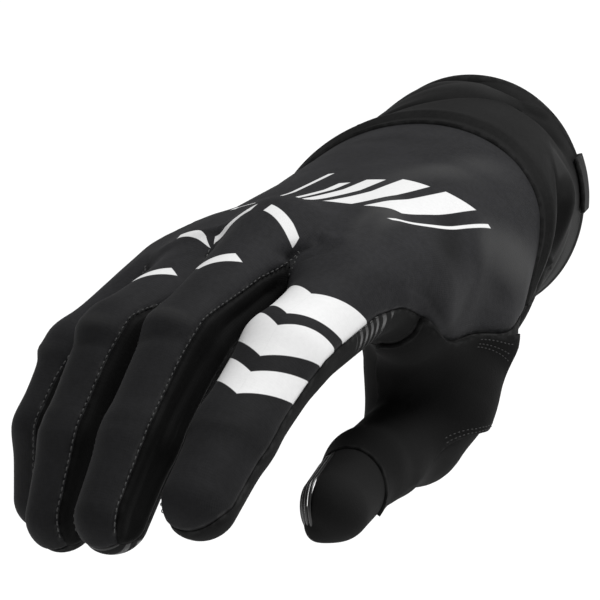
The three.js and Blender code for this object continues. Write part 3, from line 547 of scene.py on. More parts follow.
def close_tip(index):
    """The last rows of both panels draw together, to one line over the fingertip."""
    tip_line = (back[index][-1] + palm[index][-1]) / 2
    pull = wide(wide(np.clip(rows - LAST_ROW + 1, 0, 1) ** 2))
    for panel in (back, palm):
        panel[index] = panel[index] + pull * (tip_line - panel[index][-1])
        panel[index][-1] = tip_line


back, palm = ([even_out(g) for g in panel] for panel in (back, palm))
share_seam(0, 0)
share_seam(3, -1)
for i in range(4):
    close_tip(i)
print("seam on the thumb's side starts at", np.round(back[0][0, 0], 1).tolist())

# %% [markdown]
# A real riding glove has narrow strips between the fingers, so that they aren't flat. Each strip runs down
# the side of one finger, round the web and up the next. It could be cut out of the back panel, but it is a
# piece of its own with seams along both edges, so it gets a grid whose rows go from the back panel's edge
# to the palm's edge.

# %% Strips between the fingers
STRIP_CELLS = 12
STRIP_BULGE, WEB_FORWARD = 0.6, 1.4
PAIRS = ("index_middle", "middle_ring", "ring_little")
across = np.arange(STRIP_CELLS + 1) / STRIP_CELLS


def strip_side(which, column, far):
    """Rays from the bone that turn from the top edge to the bottom edge, and bulge a little sideways."""
    finger = fingers[which]
    row = finger_rows[FINE:]
    top, bottom = back[which][-len(row):, column], palm[which][-len(row):, column]
    along = np.clip((row - HAND_ROWS) / FINGER_ROWS, 0, 1)
    centre = bone_frame(finger, mix(finger["crotch"][0 if far else 1], finger["total"], along))[0][:, None]
    fade = np.clip(HAND_ROWS + FINGER_ROWS + 1 - row, 0, 1)[:, None]
    bulge = STRIP_BULGE * fade * np.sin(np.pi * across)
    aim = mix(unit(top[:, None] - centre), unit(bottom[:, None] - centre), wide(across))
    aim = aim + finger["side"] * (1 if far else -1) * wide(bulge)
    grid = cast(finger_distance(which), centre, aim)
    grid[:, 0], grid[:, -1] = top, bottom
    grid[-1] = top[-1]
    return grid


def strip(index):
    """Side of one finger, the web, and side of the next, as one grid."""
    near, far = strip_side(index, -1, False), strip_side(index + 1, 0, True)
    edge = WEB_EDGES[index]
    bones = [fingers[i]["joints"][1] - fingers[i]["joints"][0] for i in (index, index + 1)]
    forward = unit(bones[0] + bones[1])
    top, bottom = back_valleys[index][-1], palm_valleys[index][-1]
    aim = mix(unit(top - edge), unit(bottom - edge), wide(across))
    web = cast(body_distance, edge, aim + forward * wide(WEB_FORWARD * np.sin(np.pi * across)))
    web[0], web[-1] = top, bottom
    share = wide(wide(np.arange(1, FINE) / FINE))
    inner = slice(HAND_ROWS * FINE + 1, (HAND_ROWS + 1) * FINE)
    joins = []
    for which, column, side in ((index, -1, near), (index + 1, 0, far)):
        join = settle(finger_distance(which), mix(web[None], side[:1], share))
        join[:, 0], join[:, -1] = back[which][inner, column], palm[which][inner, column]
        joins.append(join)
    return np.concatenate([near[::-1], joins[0][::-1], web[None], joins[1], far])


strips = [strip(i) for i in range(3)]
print("strips:", [s.shape[:2] for s in strips])

# %% [markdown]
# The thumb is a tube of suede, sewn into a hole in the palm. A cylinder bent by a modifier would pinch at
# its root, so the tube is a row of rings of rays: the first ring is the hole itself, and the next ones turn
# from level to upright while the tube bends forwards.

# %% Thumb rings
RINGS = np.array([  # x, y, z of the middle, turn on the web side, turn on the outer side
    (14, -47, -29, 25, 52),
    (12.5, -50, -36, 28, 64),
    (11, -54.5, -44, 40, 76),
    (10.6, -65, -48.7, 90, 90),
    (10.8, -76, -48.2, 96, 96),
    (11, -87, -47.7, 102, 102),
    (11.5, -98, -48.2, 106, 106),
    (12, -107, -49.1, 95, 95),
    (12.5, -115, -50, 84, 84),
])
RING_NUMBERS = np.arange(1, len(RINGS) + 1)
FULL_RING, WEB_BEND, POLE_RING = 5, 10, 12
TIP_RINGS, TIP_LIFTS = (9, 10, 11, 12), (0, 35, 65, 90)
OUTER_GAIN, OUTER_START = 1.6, 0.3


def hole_loop():
    """Round the hole: from the middle of its web end, past the back, the wrist end and the palm."""
    low, high, side = HOLE_FROM * FINE, HOLE_TO * FINE, HOLE_COLUMNS * FINE
    p, b, half = palm[0], back[0], side // 2
    web_end = (p[high, half:0:-1], p[high, side:half:-1])
    back_edge, wrist_end, palm_edge = b[high:low:-1, 0], p[low, 0:side], p[low:high, side]
    return np.concatenate([web_end[0], back_edge, wrist_end, palm_edge, web_end[1]])


def thumb_grid():
    """Rings of rays round the thumb's line. On the web side the first rings run from the hole to ring 5."""
    hole = hole_loop()
    turn = 360 * np.arange(len(hole)) / len(hole)
    outer_share = (1 - cosine(turn)) / 2
    ring = np.arange(POLE_RING * FINE + 1)[:, None] / FINE + 0 * turn
    number = np.clip(ring, 1, len(RINGS))
    web, outer = (np.interp(number, RING_NUMBERS, RINGS[:, k]) for k in (3, 4))
    turned = mix(web, outer, outer_share)
    up = np.stack([0 * turned, -cosine(turned), sine(turned)], -1)
    forward = np.stack([0 * turned, -sine(turned), -cosine(turned)], -1)
    lift = np.interp(ring, TIP_RINGS, TIP_LIFTS)
    level = ring_way(up, np.array([1.0, 0, 0]), turn + 0 * ring, 1)
    way = level * wide(cosine(lift)) + forward * wide(sine(lift))
    grid = cast(thumb_distance, between(number, RING_NUMBERS, RINGS), way)
    first = ring[:, 0] < 1
    grid[first] = mix(hole, grid[FINE], wide(ring[first]))
    early = ring[:, 0] < FULL_RING
    share = ring[early] / FULL_RING
    straight = mix(hole, grid[FULL_RING * FINE], wide(share))
    straight[..., 1] += WEB_BEND * 4 * share * (1 - share) * (1 - outer_share)
    outside = wide(ease(outer_share * OUTER_GAIN - OUTER_START))
    grid[early] = settle(thumb_distance, mix(straight, grid[early], outside))
    grid[0] = hole
    grid[-1] = grid[-1].mean(0)
    return np.concatenate([grid, grid[:, :1]], 1)


thumb = thumb_grid()
print("thumb:", thumb.shape[:2])

# %% [markdown]
# The cuff is thick soft foam cloth, which folds where the hand was pushed through it. A cloth simulation
# could crumple it, but the folds would not fall where the photograph shows them. So they are small hills
# and grooves that follow a line round the cuff, and one table of folds gives them all.

# %% Cuff: sizes and folds
CUFF_WALL = 2.4
CUFF_SECTIONS = np.array([  # share, half width, half height, y, slant
    (0, 42.5, 28.5, -5, 0.55),
    (0.14, 42, 30, 2.5, 0.5),
    (0.5, 37.5, 32.5, 22, 0.32),
    (1, 33.5, 34.5, 48.5, 0.12),
])
CUFF_MIDDLE_X, CUFF_MIDDLE_Z = -4, -0.5
CUFF_ROWS = 72
SECTION_REACH = 0.1
UNDERSIDE, UNDERSIDE_ROUNDING = 17, 4
CUFF_FOLDS = np.array([  # turn, along, tilt, spread, breadth, height
    (8, 0.8, 0, 20, 0.06, -1.6),
    (17, 0.5, 0.0085, 30, 0.07, -2.2),
    (12, 0.66, 0.003, 24, 0.08, 0.9),
    (98, 0.14, -0.004, 22, 0.08, -4),
    (88, 0.4, 0.002, 26, 0.11, 1.5),
    (134, 0.34, 0.004, 22, 0.08, -1.5),
    (152, 0, 0, 26, 0.3, 3),
    (-48, 0.2, 0, 30, 0.3, -2.2),
    (-165, 0.5, 0.001, 40, 0.09, -1.3),
])
SMALL_FOLDS = np.array([  # the same columns: creases that the solid leaves out
    (-3, 0.89, 0.001, 15, 0.042, -2.6),
    (-6, 0.74, 0.001, 22, 0.05, 1.3),
    (17, 0.5, 0.0085, 24, 0.045, -2.2),
    (0, 0.36, 0.004, 18, 0.05, 0.7),
    (31, 0.8, 0.006, 10, 0.06, -2.4),
    (44, 0.62, 0.006, 8, 0.05, -1.6),
    (60, 0.72, 0.003, 14, 0.09, -1.6),
    (84, 0.36, -0.004, 14, 0.05, 1.7),
    (104, 0.2, -0.004, 12, 0.05, -2.6),
    (113, 0.17, 0.02, 7, 0.028, 1.8),
    (122, 0.1, 0.004, 9, 0.04, -2.2),
    (128, 0.62, 0.004, 16, 0.06, -0.9),
    (-70, 0.5, 0.002, 26, 0.05, -1.0),
    (-120, 0.7, 0.002, 26, 0.06, -1.2),
])
FOLDLESS_SHARE = 0.1


def cuff_relief(turn, share, broadest=1.0):
    """Sum of hills: height times exp of less the square of how far off the fold's line a point is."""
    total = 0
    for middle, along, tilt, spread, breadth, height in np.concatenate([CUFF_FOLDS, SMALL_FOLDS]):
        if breadth > broadest:
            continue
        aside = wrapped(turn - middle, 360)
        off = (share - along - tilt * aside) / breadth
        total = total + height * np.exp(-(off ** 2) - (aside / spread) ** 2)
    return ease(share / FOLDLESS_SHARE) * total


def cuff_place(turn, share):
    """An ellipse whose half axes follow the sections, leaning back where it is above the underside."""
    half_width, half_height, y, slant = (
        smooth_table(share, CUFF_SECTIONS[:, 0], CUFF_SECTIONS[:, k], SECTION_REACH) for k in range(1, 5))
    size = cuff_relief(turn, share)
    x = CUFF_MIDDLE_X + (half_width + size) * sine(turn)
    z = CUFF_MIDDLE_Z + (half_height + size) * cosine(turn)
    leaning_height = -blend([-z, UNDERSIDE + 0 * z], UNDERSIDE_ROUNDING)
    return np.stack([x, y + slant * leaning_height, z], -1)


print("cuff folds:", len(CUFF_FOLDS) + len(SMALL_FOLDS), "with the small ones")

# %% Cuff: from the wrist seam to the rim
TUCKED_ROWS = ((5, 1.9), (3, 1.8), (2, 1.6), (1, 1.2))  # rows past the seam, depth under the skin
SEAM_FADE = 4


def around_hand(row):
    """One row of the back and the palm as a closed loop."""
    over, under = (
        np.concatenate([g[row, (1 if i else 0):] for i, g in enumerate(grids)]) for grids in (back, palm))
    return np.concatenate([over, under[1:-1][::-1]])


def tucked(row, depth):
    """The cuff's allowance under the hand's edge: a row of the hand, sunk by a depth."""
    loop = around_hand(row)
    return loop - slope(hand_distance, loop) * depth


def cuff_grid():
    """After the allowance comes the wrist seam; its offset from the ellipse fades towards the rim."""
    seam = around_hand(0)
    _, half_width, half_height, _, _ = CUFF_SECTIONS[0]
    from_middle = ((seam[:, 0] - CUFF_MIDDLE_X) / half_width, (seam[:, 2] - CUFF_MIDDLE_Z) / half_height)
    turn = np.degrees(np.arctan2(*from_middle))
    share = np.arange(CUFF_ROWS + 1)[:, None] / CUFF_ROWS
    aside = seam - cuff_place(turn, 0 * turn)
    grid = cuff_place(turn[None] + 0 * share, share + 0 * turn) + aside * wide((1 - share) ** SEAM_FADE)
    grid = np.concatenate([np.stack([tucked(*row) for row in TUCKED_ROWS]), grid])
    turns = np.concatenate([turn, turn[:1]])
    return np.concatenate([grid, grid[:, :1]], 1), turns


cuff, cuff_turns = cuff_grid()
print("cuff:", cuff.shape[:2])

# %% [markdown]
# A short tape is sewn over the cuff's rim, to pull the glove on by. It could be a bent strip with a Curve
# modifier, but it has to lie on the folds of the cuff. So it is measured from the cuff's own surface: along
# it outside, in a half circle over the rim, and back along it inside.

# %% Pull tab
CUFF_LENGTH = 52
TAB_TURN, TAB_HALF, TAB_OUTER, TAB_INNER = 87, 12.5, 10, 8
TAB_OVERHANG, TAB_GAP, TAB_WALL = 1.5, 0.5, 1.2
TAB_POINTS, TAB_COLUMNS = 14, 21
NEAR_TURN, NEAR_SHARE = 1.5, 0.02


def cuff_frame(turn, share):
    """Place on the cuff, its way to the rim and its way out."""
    around = cuff_place(turn + NEAR_TURN, share) - cuff_place(turn - NEAR_TURN, share)
    after, before = np.minimum(share + NEAR_SHARE, 1), np.maximum(share - NEAR_SHARE, 0)
    along = unit(cuff_place(turn, after) - cuff_place(turn, before))
    return cuff_place(turn, share), along, unit(np.cross(along, around))


def tab_grid():
    """A flat tape that lies on the cuff, bends over the rim in a half circle and runs back inside."""
    bend = CUFF_WALL / 2 + TAB_GAP + TAB_WALL
    leg = np.linspace(1, 0, TAB_POINTS)
    bent = np.linspace(12, 168, TAB_POINTS)
    angle = np.concatenate([0 * leg, bent, 180 + 0 * leg])
    along = np.concatenate([-TAB_OUTER * leg, TAB_OVERHANG + bend * sine(bent), -TAB_INNER * leg[::-1]])
    turn = TAB_TURN + TAB_HALF * (1 - np.linspace(0, 2, TAB_COLUMNS))
    share = np.minimum(1 + along / CUFF_LENGTH, 1)[:, None]
    place, forward, out = cuff_frame(turn[None] + 0 * share, share + 0 * turn)
    past = wide(wide(np.maximum(along, 0)))
    above = wide(wide(bend * cosine(angle) - CUFF_WALL / 2))
    return place + forward * past + out * above


tab = tab_grid()
print("tab:", tab.shape[:2])

# %% [markdown]
# Now the grids become cloth. Panels that share a line are merged into one mesh, each vertex learns how far
# it is from the nearest cut edge, and the edge is rolled inwards as a sewn edge is. A Solidify modifier
# then gives the cloth its thickness on the inside, which keeps the outer shape as it was worked out.


# %% Cells, normals and edges
def corners(shape, start):
    """Vertex numbers of each cell of a grid, four to a row."""
    number = start + np.arange(shape[0] * shape[1]).reshape(shape[:2])
    return np.stack([number[:-1, :-1], number[:-1, 1:], number[1:, 1:], number[1:, :-1]], -1)


def normals_of(points, quads):
    """Sum of the cross products of each cell's diagonals at its corners, made one long."""
    cross = np.cross(points[quads[:, 2]] - points[quads[:, 0]], points[quads[:, 3]] - points[quads[:, 1]])
    total = np.zeros_like(points)
    for k in range(4):
        np.add.at(total, quads[:, k], cross)
    return unit(total)


def cell_edges(quads):
    """The four edges of each cell as sorted pairs, without those that have shrunk to a point."""
    edges = np.concatenate([quads[:, [k, (k + 1) % 4]] for k in range(4)])
    return np.sort(edges[edges[:, 0] != edges[:, 1]], 1)


def cut_edge(quads):
    """Vertices on edges that only one cell uses."""
    found, counts = np.unique(cell_edges(quads), axis=0, return_counts=True)
    return np.unique(found[counts == 1])


def nearest(points, targets, chunk=2000):
    """Distance from each point to the nearest target, worked out in chunks that fit in memory."""
    starts = range(0, len(points), chunk)
    squares = [((points[i:i + chunk, None] - targets[None]) ** 2).sum(-1).min(1) for i in starts]
    return np.sqrt(np.concatenate(squares))


def merge(points, quads, digits):
    """Points that agree to so many digits become one. Gives the kept ones and the cells' new numbers."""
    rounded = np.round(points, digits)
    _, kept, number = np.unique(rounded, axis=0, return_index=True, return_inverse=True)
    return kept, number.ravel()[quads]


def relaxed(points, quads, centres, radius=9, fade=0.6, strength=0.5, rounds=30):
    """Points near the centres drawn towards the mean of their neighbours; cut edges stay put."""
    edges = np.unique(cell_edges(quads), axis=0)
    pairs = np.concatenate([edges, edges[:, ::-1]])
    share = strength * ease((radius - nearest(points, centres)) / (fade * radius))
    share[cut_edge(quads)] = 0
    first, second, size = pairs[:, 0], pairs[:, 1], len(points)
    count = np.maximum(np.bincount(first, minlength=size), 1)
    for _ in range(rounds):
        mean = [np.bincount(first, points[second, k], minlength=size) / count for k in range(3)]
        points = mix(points, np.stack(mean, -1), wide(share))
    return points


print("cells of the cuff:", corners(cuff.shape, 0).shape[:2])


# %% From arrays to an object
def placed(name, data):
    """A new object in the scene, for a mesh, a camera or a light."""
    obj = bpy.data.objects.new(name, data)
    bpy.context.collection.objects.link(obj)
    return obj


def build(name, points, quads, material, loop_uv=None, edge=0.0, height=0.0, wall=0, nodes=()):
    """Cells whose corners fall together become triangles; the rest stay four-sided."""
    keep = quads != np.roll(quads, 1, axis=1)
    whole = keep.sum(1) >= 3
    faces = [q[k].tolist() for q, k in zip(quads[whole], keep[whole])]
    mesh = bpy.data.meshes.new(name)
    mesh.from_pydata((points / 1000).tolist(), [], faces)
    uv = np.zeros(quads.shape + (2,)) if loop_uv is None else loop_uv
    uv = uv[whole][keep[whole]]
    mesh.uv_layers.new(name="cloth").data.foreach_set("uv", uv.astype(np.float32).ravel())
    for key, values in (("edge_mm", edge), ("rise_mm", height)):
        values = np.broadcast_to(values, len(points)).astype(np.float32)
        mesh.attributes.new(key, "FLOAT", "POINT").data.foreach_set("value", values)
    mesh.polygons.foreach_set("use_smooth", np.ones(len(faces), bool))
    mesh.update()
    mesh.materials.append(material)
    obj = placed(name, mesh)
    if wall:
        thick = obj.modifiers.new("wall", "SOLIDIFY")
        thick.thickness = wall / 1000
        thick.offset = -1
        thick.use_rim = True
    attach(obj, "root")
    if nodes:
        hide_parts(*nodes)
    print(name, "has", len(points), "points and", len(faces), "faces")


def sew(name, grids, uvs, flip, wall, relief, material, nodes, opened=None, fold_height=None,
        relax_at=None):
    """Merges the grids' shared points, adds the relief along the normals, and makes the object.

    fold_height(uv) is the height of the folds in mm, kept for the colour: painted shade in the hollows,
    painted highlight on the crests.
    """
    points = np.concatenate([g.reshape(-1, 3) for g in grids])
    uv = np.concatenate([u.reshape(-1, 2) for u in uvs])
    starts = np.cumsum([0] + [g.shape[0] * g.shape[1] for g in grids])
    cells = [corners(g.shape, s) for g, s in zip(grids, starts)]
    if opened is not None:
        cells[0] = cells[0][~opened]
    loops = np.concatenate([c.reshape(-1, 4) for c in cells])
    if flip:
        loops = loops[:, ::-1]
    kept, quads = merge(points, loops, 4)
    points = points[kept]
    if relax_at is not None:
        points = relaxed(points, quads, relax_at)
    out = normals_of(points, quads)
    edge = nearest(points, points[cut_edge(quads)])
    points = points + out * wide(relief(points, uv[kept], edge))
    used = np.unique(quads)
    number = np.zeros(len(points), int)
    number[used] = np.arange(len(used))
    height = fold_height(uv[kept])[used] if fold_height else 0.0
    build(name, points[used], number[quads], material, uv[loops], edge[used], height, wall, nodes)


# %% [markdown]
# Shader maths reads best as plain sums, but Blender wants a Math node for each step. A small class wraps a
# socket, so that an expression such as 1 - mask * 0.5 adds its own Math nodes. Every other node comes from
# one function.


# %% Wires: sockets that take part in sums
class Wire:
    """One output of a node. Sums on it add Math nodes to the same material."""

    def __init__(self, tree, socket):
        self.tree = tree
        self.socket = socket

    def math(self, operation, *values):
        """One Math node on these values."""
        return node(self.tree, "ShaderNodeMath", {"operation": operation}, dict(enumerate(values)))[0]

    # sums, differences and products, with the wire on either side of the sign
    def __add__(self, other):
        return self.math("ADD", self, other)

    def __radd__(self, other):
        return self.math("ADD", other, self)

    def __sub__(self, other):
        return self.math("SUBTRACT", self, other)

    def __rsub__(self, other):
        return self.math("SUBTRACT", other, self)

    def __mul__(self, other):
        return self.math("MULTIPLY", self, other)

    def __rmul__(self, other):
        return self.math("MULTIPLY", other, self)

    def __neg__(self):
        return self.math("MULTIPLY", self, -1)

    def size(self):
        """The value without its sign."""
        return self.math("ABSOLUTE", self)

    def least(self, other):
        """The lesser of two values."""
        return self.math("MINIMUM", self, other)

    def most(self, other):
        """The greater of two values."""
        return self.math("MAXIMUM", self, other)

    def wave(self):
        """The sine of a value in radians."""
        return self.math("SINE", self)

    def step(self, low, high):
        """0 below low, 1 above high, eased between."""
        settings = {"interpolation_type": "SMOOTHSTEP"}
        values = {"Value": self, "From Min": low, "From Max": high}
        return node(self.tree, "ShaderNodeMapRange", settings, values)[0]


def plug(tree, sockets, values):
    """Gives each named socket its wire, number or colour."""
    for key, value in values.items():
        if isinstance(value, Wire):
            tree.links.new(value.socket, sockets[key])
        else:
            sockets[key].default_value = value


def node(tree, kind, settings=None, values=None):
    """Adds any node: its settings first, then the values or links of its sockets. Gives its outputs."""
    made = tree.nodes.new(kind)
    for key, value in (settings or {}).items():
        setattr(made, key, value)
    plug(tree, made.inputs, values or {})
    return [Wire(tree, socket) for socket in made.outputs if socket.enabled]


reflected = [key for key in vars(Wire) if key.startswith("__r")]
print("a wire may also stand on the right of a sum:", reflected)

# %% Materials and the nodes that they share
MAP_SCALE = 100  # millimetres of cloth to one unit of the UV map


def new_material(name):
    """An empty material with a Principled shader: the material, its tree and the shader."""
    material = bpy.data.materials.new(name)
    material.use_nodes = True
    tree = material.node_tree
    return material, tree, tree.nodes["Principled BSDF"]


def grey(value, blue=0.0):
    """A grey, or with a little more blue."""
    return (value, value, value + blue, 1)


def between_colours(tree, share, a, b):
    """A Mix node on colours: a where the share is 0, b where it is 1. It has sockets for other kinds of
    value too; those of the share and of the two colours are 0, 6 and 7."""
    return node(tree, "ShaderNodeMix", {"data_type": "RGBA"}, {0: share, 6: a, 7: b})[0]


def object_place(tree):
    """Place on the piece, in metres."""
    return node(tree, "ShaderNodeTexCoord")[3]


def attribute(tree, name):
    """A number that the mesh keeps at each vertex."""
    return node(tree, "ShaderNodeAttribute", {"attribute_name": name})[2]


def noise(tree, where, scale, detail=2.0, roughness=0.5):
    """Cloudy noise from about 0.3 to 0.7, so many clouds to a metre."""
    values = {"Vector": where, "Scale": scale, "Detail": detail, "Roughness": roughness}
    return node(tree, "ShaderNodeTexNoise", None, values)[0]


def bump(tree, height, strength, distance):
    """A normal tilted by the slope of a height; 1 of height counts as the distance in metres."""
    values = {"Height": height, "Strength": strength, "Distance": distance}
    return node(tree, "ShaderNodeBump", None, values)[0]


def cloth_uv(tree):
    """The piece's own UV map, in millimetres across and along the cloth."""
    uv = node(tree, "ShaderNodeUVMap", {"uv_map": "cloth"})[0]
    across_wire, along_wire, _ = node(tree, "ShaderNodeSeparateXYZ", None, {0: uv})
    return across_wire * MAP_SCALE, along_wire * MAP_SCALE


print("one unit of the UV map is", MAP_SCALE, "mm of cloth")

# %% [markdown]
# The back of a riding glove is printed: a white rubbery ink is pressed through a screen onto the knit. It
# could be a picture on the map, but a shape worked out in the shader stays sharp at any size. Bars with
# slanted ends are the plainest such motif. Each row of the table is one bar, laid on the panel's own map,
# and the mask is 1 inside any of them.

# %% Printed motifs
CHEVRON_TURN = 30
CHEVRON_SLANT = 0.577  # the tangent of that turn, so that both arms end upright
CHEVRON_OVERLAP = 0.06
INK_EDGE = 0.12
MOTIFS = [  # across, along, turn in degrees, half length, half width, slant of the ends
    (-25, 60, 72, 15, 4.4, 0.5),
    (-12.5, 62, 72, 14, 3.4, 0.5),
    (-2.5, 64, 72, 13, 2.4, 0.5),
    (5, 66, 72, 12, 1.4, 0.5),
    (-34, 64, 72, 20, 0.6, 0.5),
    (15, 64, 76, 19, 0.8, 0.5),
    (-9, 100, -24, 7, 1.8, 0.4),
    (9, 98, 24, 7, 1.8, -0.4),
    (24, 100, -24, 6, 1.8, 0.4),
    (0, 122, CHEVRON_TURN, 6, 1.6, CHEVRON_SLANT),
    (38, 121, CHEVRON_TURN, 6, 1.6, CHEVRON_SLANT),
]
CHEVRONS = [  # middle, tip, half length, half width
    (-47, 131, 9.8, 5.0),
    (-47, 146, 9.5, 4.2),
    (-47, 160, 9, 3.3),
]


def chevron_arms(middle, tip, half_length, half_width):
    """Two bars that lean against each other at the tip, with a hair of overlap."""
    arms = []
    for side in (-1, 1):
        across_arm = middle + side * half_length * cosine(CHEVRON_TURN)
        along_arm = tip - half_length * sine(CHEVRON_TURN)
        arms.append((across_arm, along_arm, -side * CHEVRON_TURN, half_length + CHEVRON_OVERLAP, half_width,
                     side * CHEVRON_SLANT))
    return arms


def motif_mask(tree, u, v):
    """Distance inside each bar, in its own turned frame; the largest of them, cut off at zero."""
    inside = None
    for across_bar, along_bar, turn, half_length, half_width, slant in bars:
        du, dv = u - across_bar, v - along_bar
        along_it = du * float(cosine(turn)) + dv * float(sine(turn))
        beside = dv * float(cosine(turn)) - du * float(sine(turn))
        depth = (half_length - (along_it + beside * slant).size()).least(half_width - beside.size())
        inside = depth if inside is None else inside.most(depth)
    return inside.step(-INK_EDGE, INK_EDGE)


bars = MOTIFS + [arm for chevron in CHEVRONS for arm in chevron_arms(*chevron)]
print("printed bars:", len(bars))

# %% [markdown]
# Knit, suede and foam cloth all look matte, but not alike. The knit has fine ribs and catches a little
# light at its edges, and the suede has a nap that lies in patches. A plain grey would look like plastic, so
# each shade is a sum of noises at the sizes of clouds, grain and fuzz.

# %% Knit, plain or printed
RIB_PITCH, ROW_PITCH = 0.6, 0.8


def edge_wear(tree, where):
    """1 within about a millimetre of a cut edge, broken up by noise, where cloth rubs pale."""
    return (1 - attribute(tree, "edge_mm").step(0.3, 1.8)) * noise(tree, where, 400.0).step(0.4, 0.7)


def painted_fold_shading(tree, color, dark, worn):
    """Painted shade in the hollows of the folds and a painted highlight on their crests, by the mesh's
    height.
    """
    height = attribute(tree, "rise_mm")
    color = between_colours(tree, (-height).step(0.05, 1.5) * 0.8, color, grey(dark[0] * 0.2))
    return between_colours(tree, height.step(0.05, 1.3) * 0.8, color, grey(worn[0] * 2.1))


def knit(name, dark, worn, ribs_deep=0.25, ink=None):
    """Fine stretch knit: ribs under 1 mm apart, cloudy tone, painted fold shade and highlight, ink on
    motifs.
    """
    material, tree, shader = new_material(name)
    where = object_place(tree)
    u, v = cloth_uv(tree)
    clouds = noise(tree, where, 60.0, 3.0).step(0.3, 0.7)
    fuzz = noise(tree, where, 1500.0, 2.0, 0.7)
    grain = noise(tree, where, 750.0, 3.0, 0.6).step(0.3, 0.7)
    ribs = (u * (2 * np.pi / RIB_PITCH)).wave() * 0.5 + (v * (2 * np.pi / ROW_PITCH)).wave() * 0.3
    shade = clouds * 0.35 + grain * 0.35 + fuzz * 0.2 + ribs * 0.1
    # painted shade in the hollows of the folds and a painted highlight on their crests
    color = painted_fold_shading(tree, between_colours(tree, shade, dark, worn), dark, worn)
    if ink:
        # painted shade: the knit goes darker over the fingers, from 95 to 165 mm along the map
        color = between_colours(tree, v.step(95, 165) * 0.5, color, grey(dark[0] * 0.45))
    color = between_colours(tree, edge_wear(tree, where) * 0.5, color, grey(worn[0] * 2.2))
    rough = 0.66 + fuzz * 0.16
    height = ribs * ribs_deep + fuzz * 0.8
    if ink:
        mask = motif_mask(tree, u, v)
        printed = between_colours(tree, noise(tree, where, 900.0, 3.0), grey(ink * 0.9), grey(ink))
        color = between_colours(tree, mask, color, printed)
        rough = rough - mask * 0.2
        height = height * (1 - mask * 0.7) + mask * 0.9
    plug(tree, shader.inputs, {
        "Base Color": color, "Roughness": rough, "Normal": bump(tree, height, 0.45, 0.00016),
        "Sheen Weight": 0.02, "Sheen Roughness": 0.4, "Specular IOR Level": 0.08})
    return material


back_cloth = knit("back_cloth", grey(0.013, 0.001), grey(0.026, 0.002), ink=0.75)
# the strips' own knit is black; its colour is darker still as painted shade between the fingers
strip_cloth = knit("strip_cloth", grey(0.001), grey(0.003))
cuff_cloth = knit("cuff_cloth", grey(0.005), grey(0.0115), ribs_deep=0.12)
tab_tape = knit("tab_tape", grey(0.01), grey(0.02), ribs_deep=0.9)
print("nodes in the printed knit:", len(back_cloth.node_tree.nodes))

# %% Suede, plain or with grip print
PALM_GRIP = [  # spacing of the lines, map axis that they are counted along, low u, high u, low v, high v
    (2.6, "v", -75, -46, 88, 112),
    (1.5, "u", -72, -60, 113, 188),
    (4.2, "v", -40, -20, 118, 190),
    (4.2, "v", -8, 12, 118, 200),
]


def grip_lines(tree, u, v, layout):
    """Glossy raised lines: 1 on a line, inside the layout's box on the map."""
    spacing, axis, low_u, high_u, low_v, high_v = layout
    counted = (u if axis == "u" else v) * (2 * np.pi / spacing)
    lines = counted.wave().step(-0.1, 0.55)
    inside_u = (u - low_u).least(high_u - u).step(-0.4, 0.4)
    inside_v = (v - low_v).least(high_v - v).step(-0.4, 0.4)
    return lines * inside_u * inside_v


def suede(name, dark, worn, grip=None):
    """Microfibre suede: matte, with a fine nap that lies in patches, and glossy grip print if asked."""
    material, tree, shader = new_material(name)
    where = object_place(tree)
    patches = noise(tree, where, 45.0, 3.0).step(0.3, 0.7)
    nap = noise(tree, where, 1900.0, 2.0, 0.7)
    color = between_colours(tree, patches * 0.5 + nap * 0.5, dark, worn)
    color = between_colours(tree, edge_wear(tree, where) * 0.6, color, grey(worn[0] * 2.5))
    rough = 0.84 + nap * 0.12
    height = nap + patches * 0.3
    values = {"Sheen Weight": 0.015, "Sheen Roughness": 0.5, "Specular IOR Level": 0.06}
    if grip:
        u, v = cloth_uv(tree)
        lines = None
        for layout in grip:
            found = grip_lines(tree, u, v, layout)
            lines = found if lines is None else lines.most(found)
        color = between_colours(tree, lines, color, grey(0.02))
        rough = rough - lines * 0.5
        height = height * (1 - lines) + lines * 3
        values["Coat Weight"] = lines * 0.6
        values["Coat Roughness"] = 0.25
    values.update({"Base Color": color, "Roughness": rough, "Normal": bump(tree, height, 0.5, 0.00018)})
    plug(tree, shader.inputs, values)
    return material


palm_cloth = suede("palm_cloth", grey(0.006), grey(0.012), PALM_GRIP)
thumb_cloth = suede("thumb_cloth", grey(0.007), grey(0.013))
patch_cloth = suede("patch_cloth", grey(0.0035), grey(0.0075))
print("nodes in the palm's suede:", len(palm_cloth.node_tree.nodes))

# %% [markdown]
# A pattern on cloth has to follow the cloth, so each piece gets a UV map. Unwrapping would cut the fingers
# apart and shift them. The grids already know their own lengths, so the map is those lengths: across each
# row, and along the rows.


# %% UV maps from the grids' own lengths
def lengths(grid, axis):
    """Running length along an axis of the grid, in mm."""
    step = np.linalg.norm(np.diff(grid, axis=axis), axis=-1)
    zero = np.zeros_like(np.take(step, [0], axis))
    return np.cumsum(np.concatenate([zero, step], axis), axis)


def plain_uv(grid):
    """Length across each row from its middle, and mean length along the rows."""
    u = lengths(grid, 1)
    u = u - u[:, [grid.shape[1] // 2]]
    v = lengths(grid, 0).mean(1, keepdims=True) + 0 * u
    return np.stack([u, v], -1) / MAP_SCALE


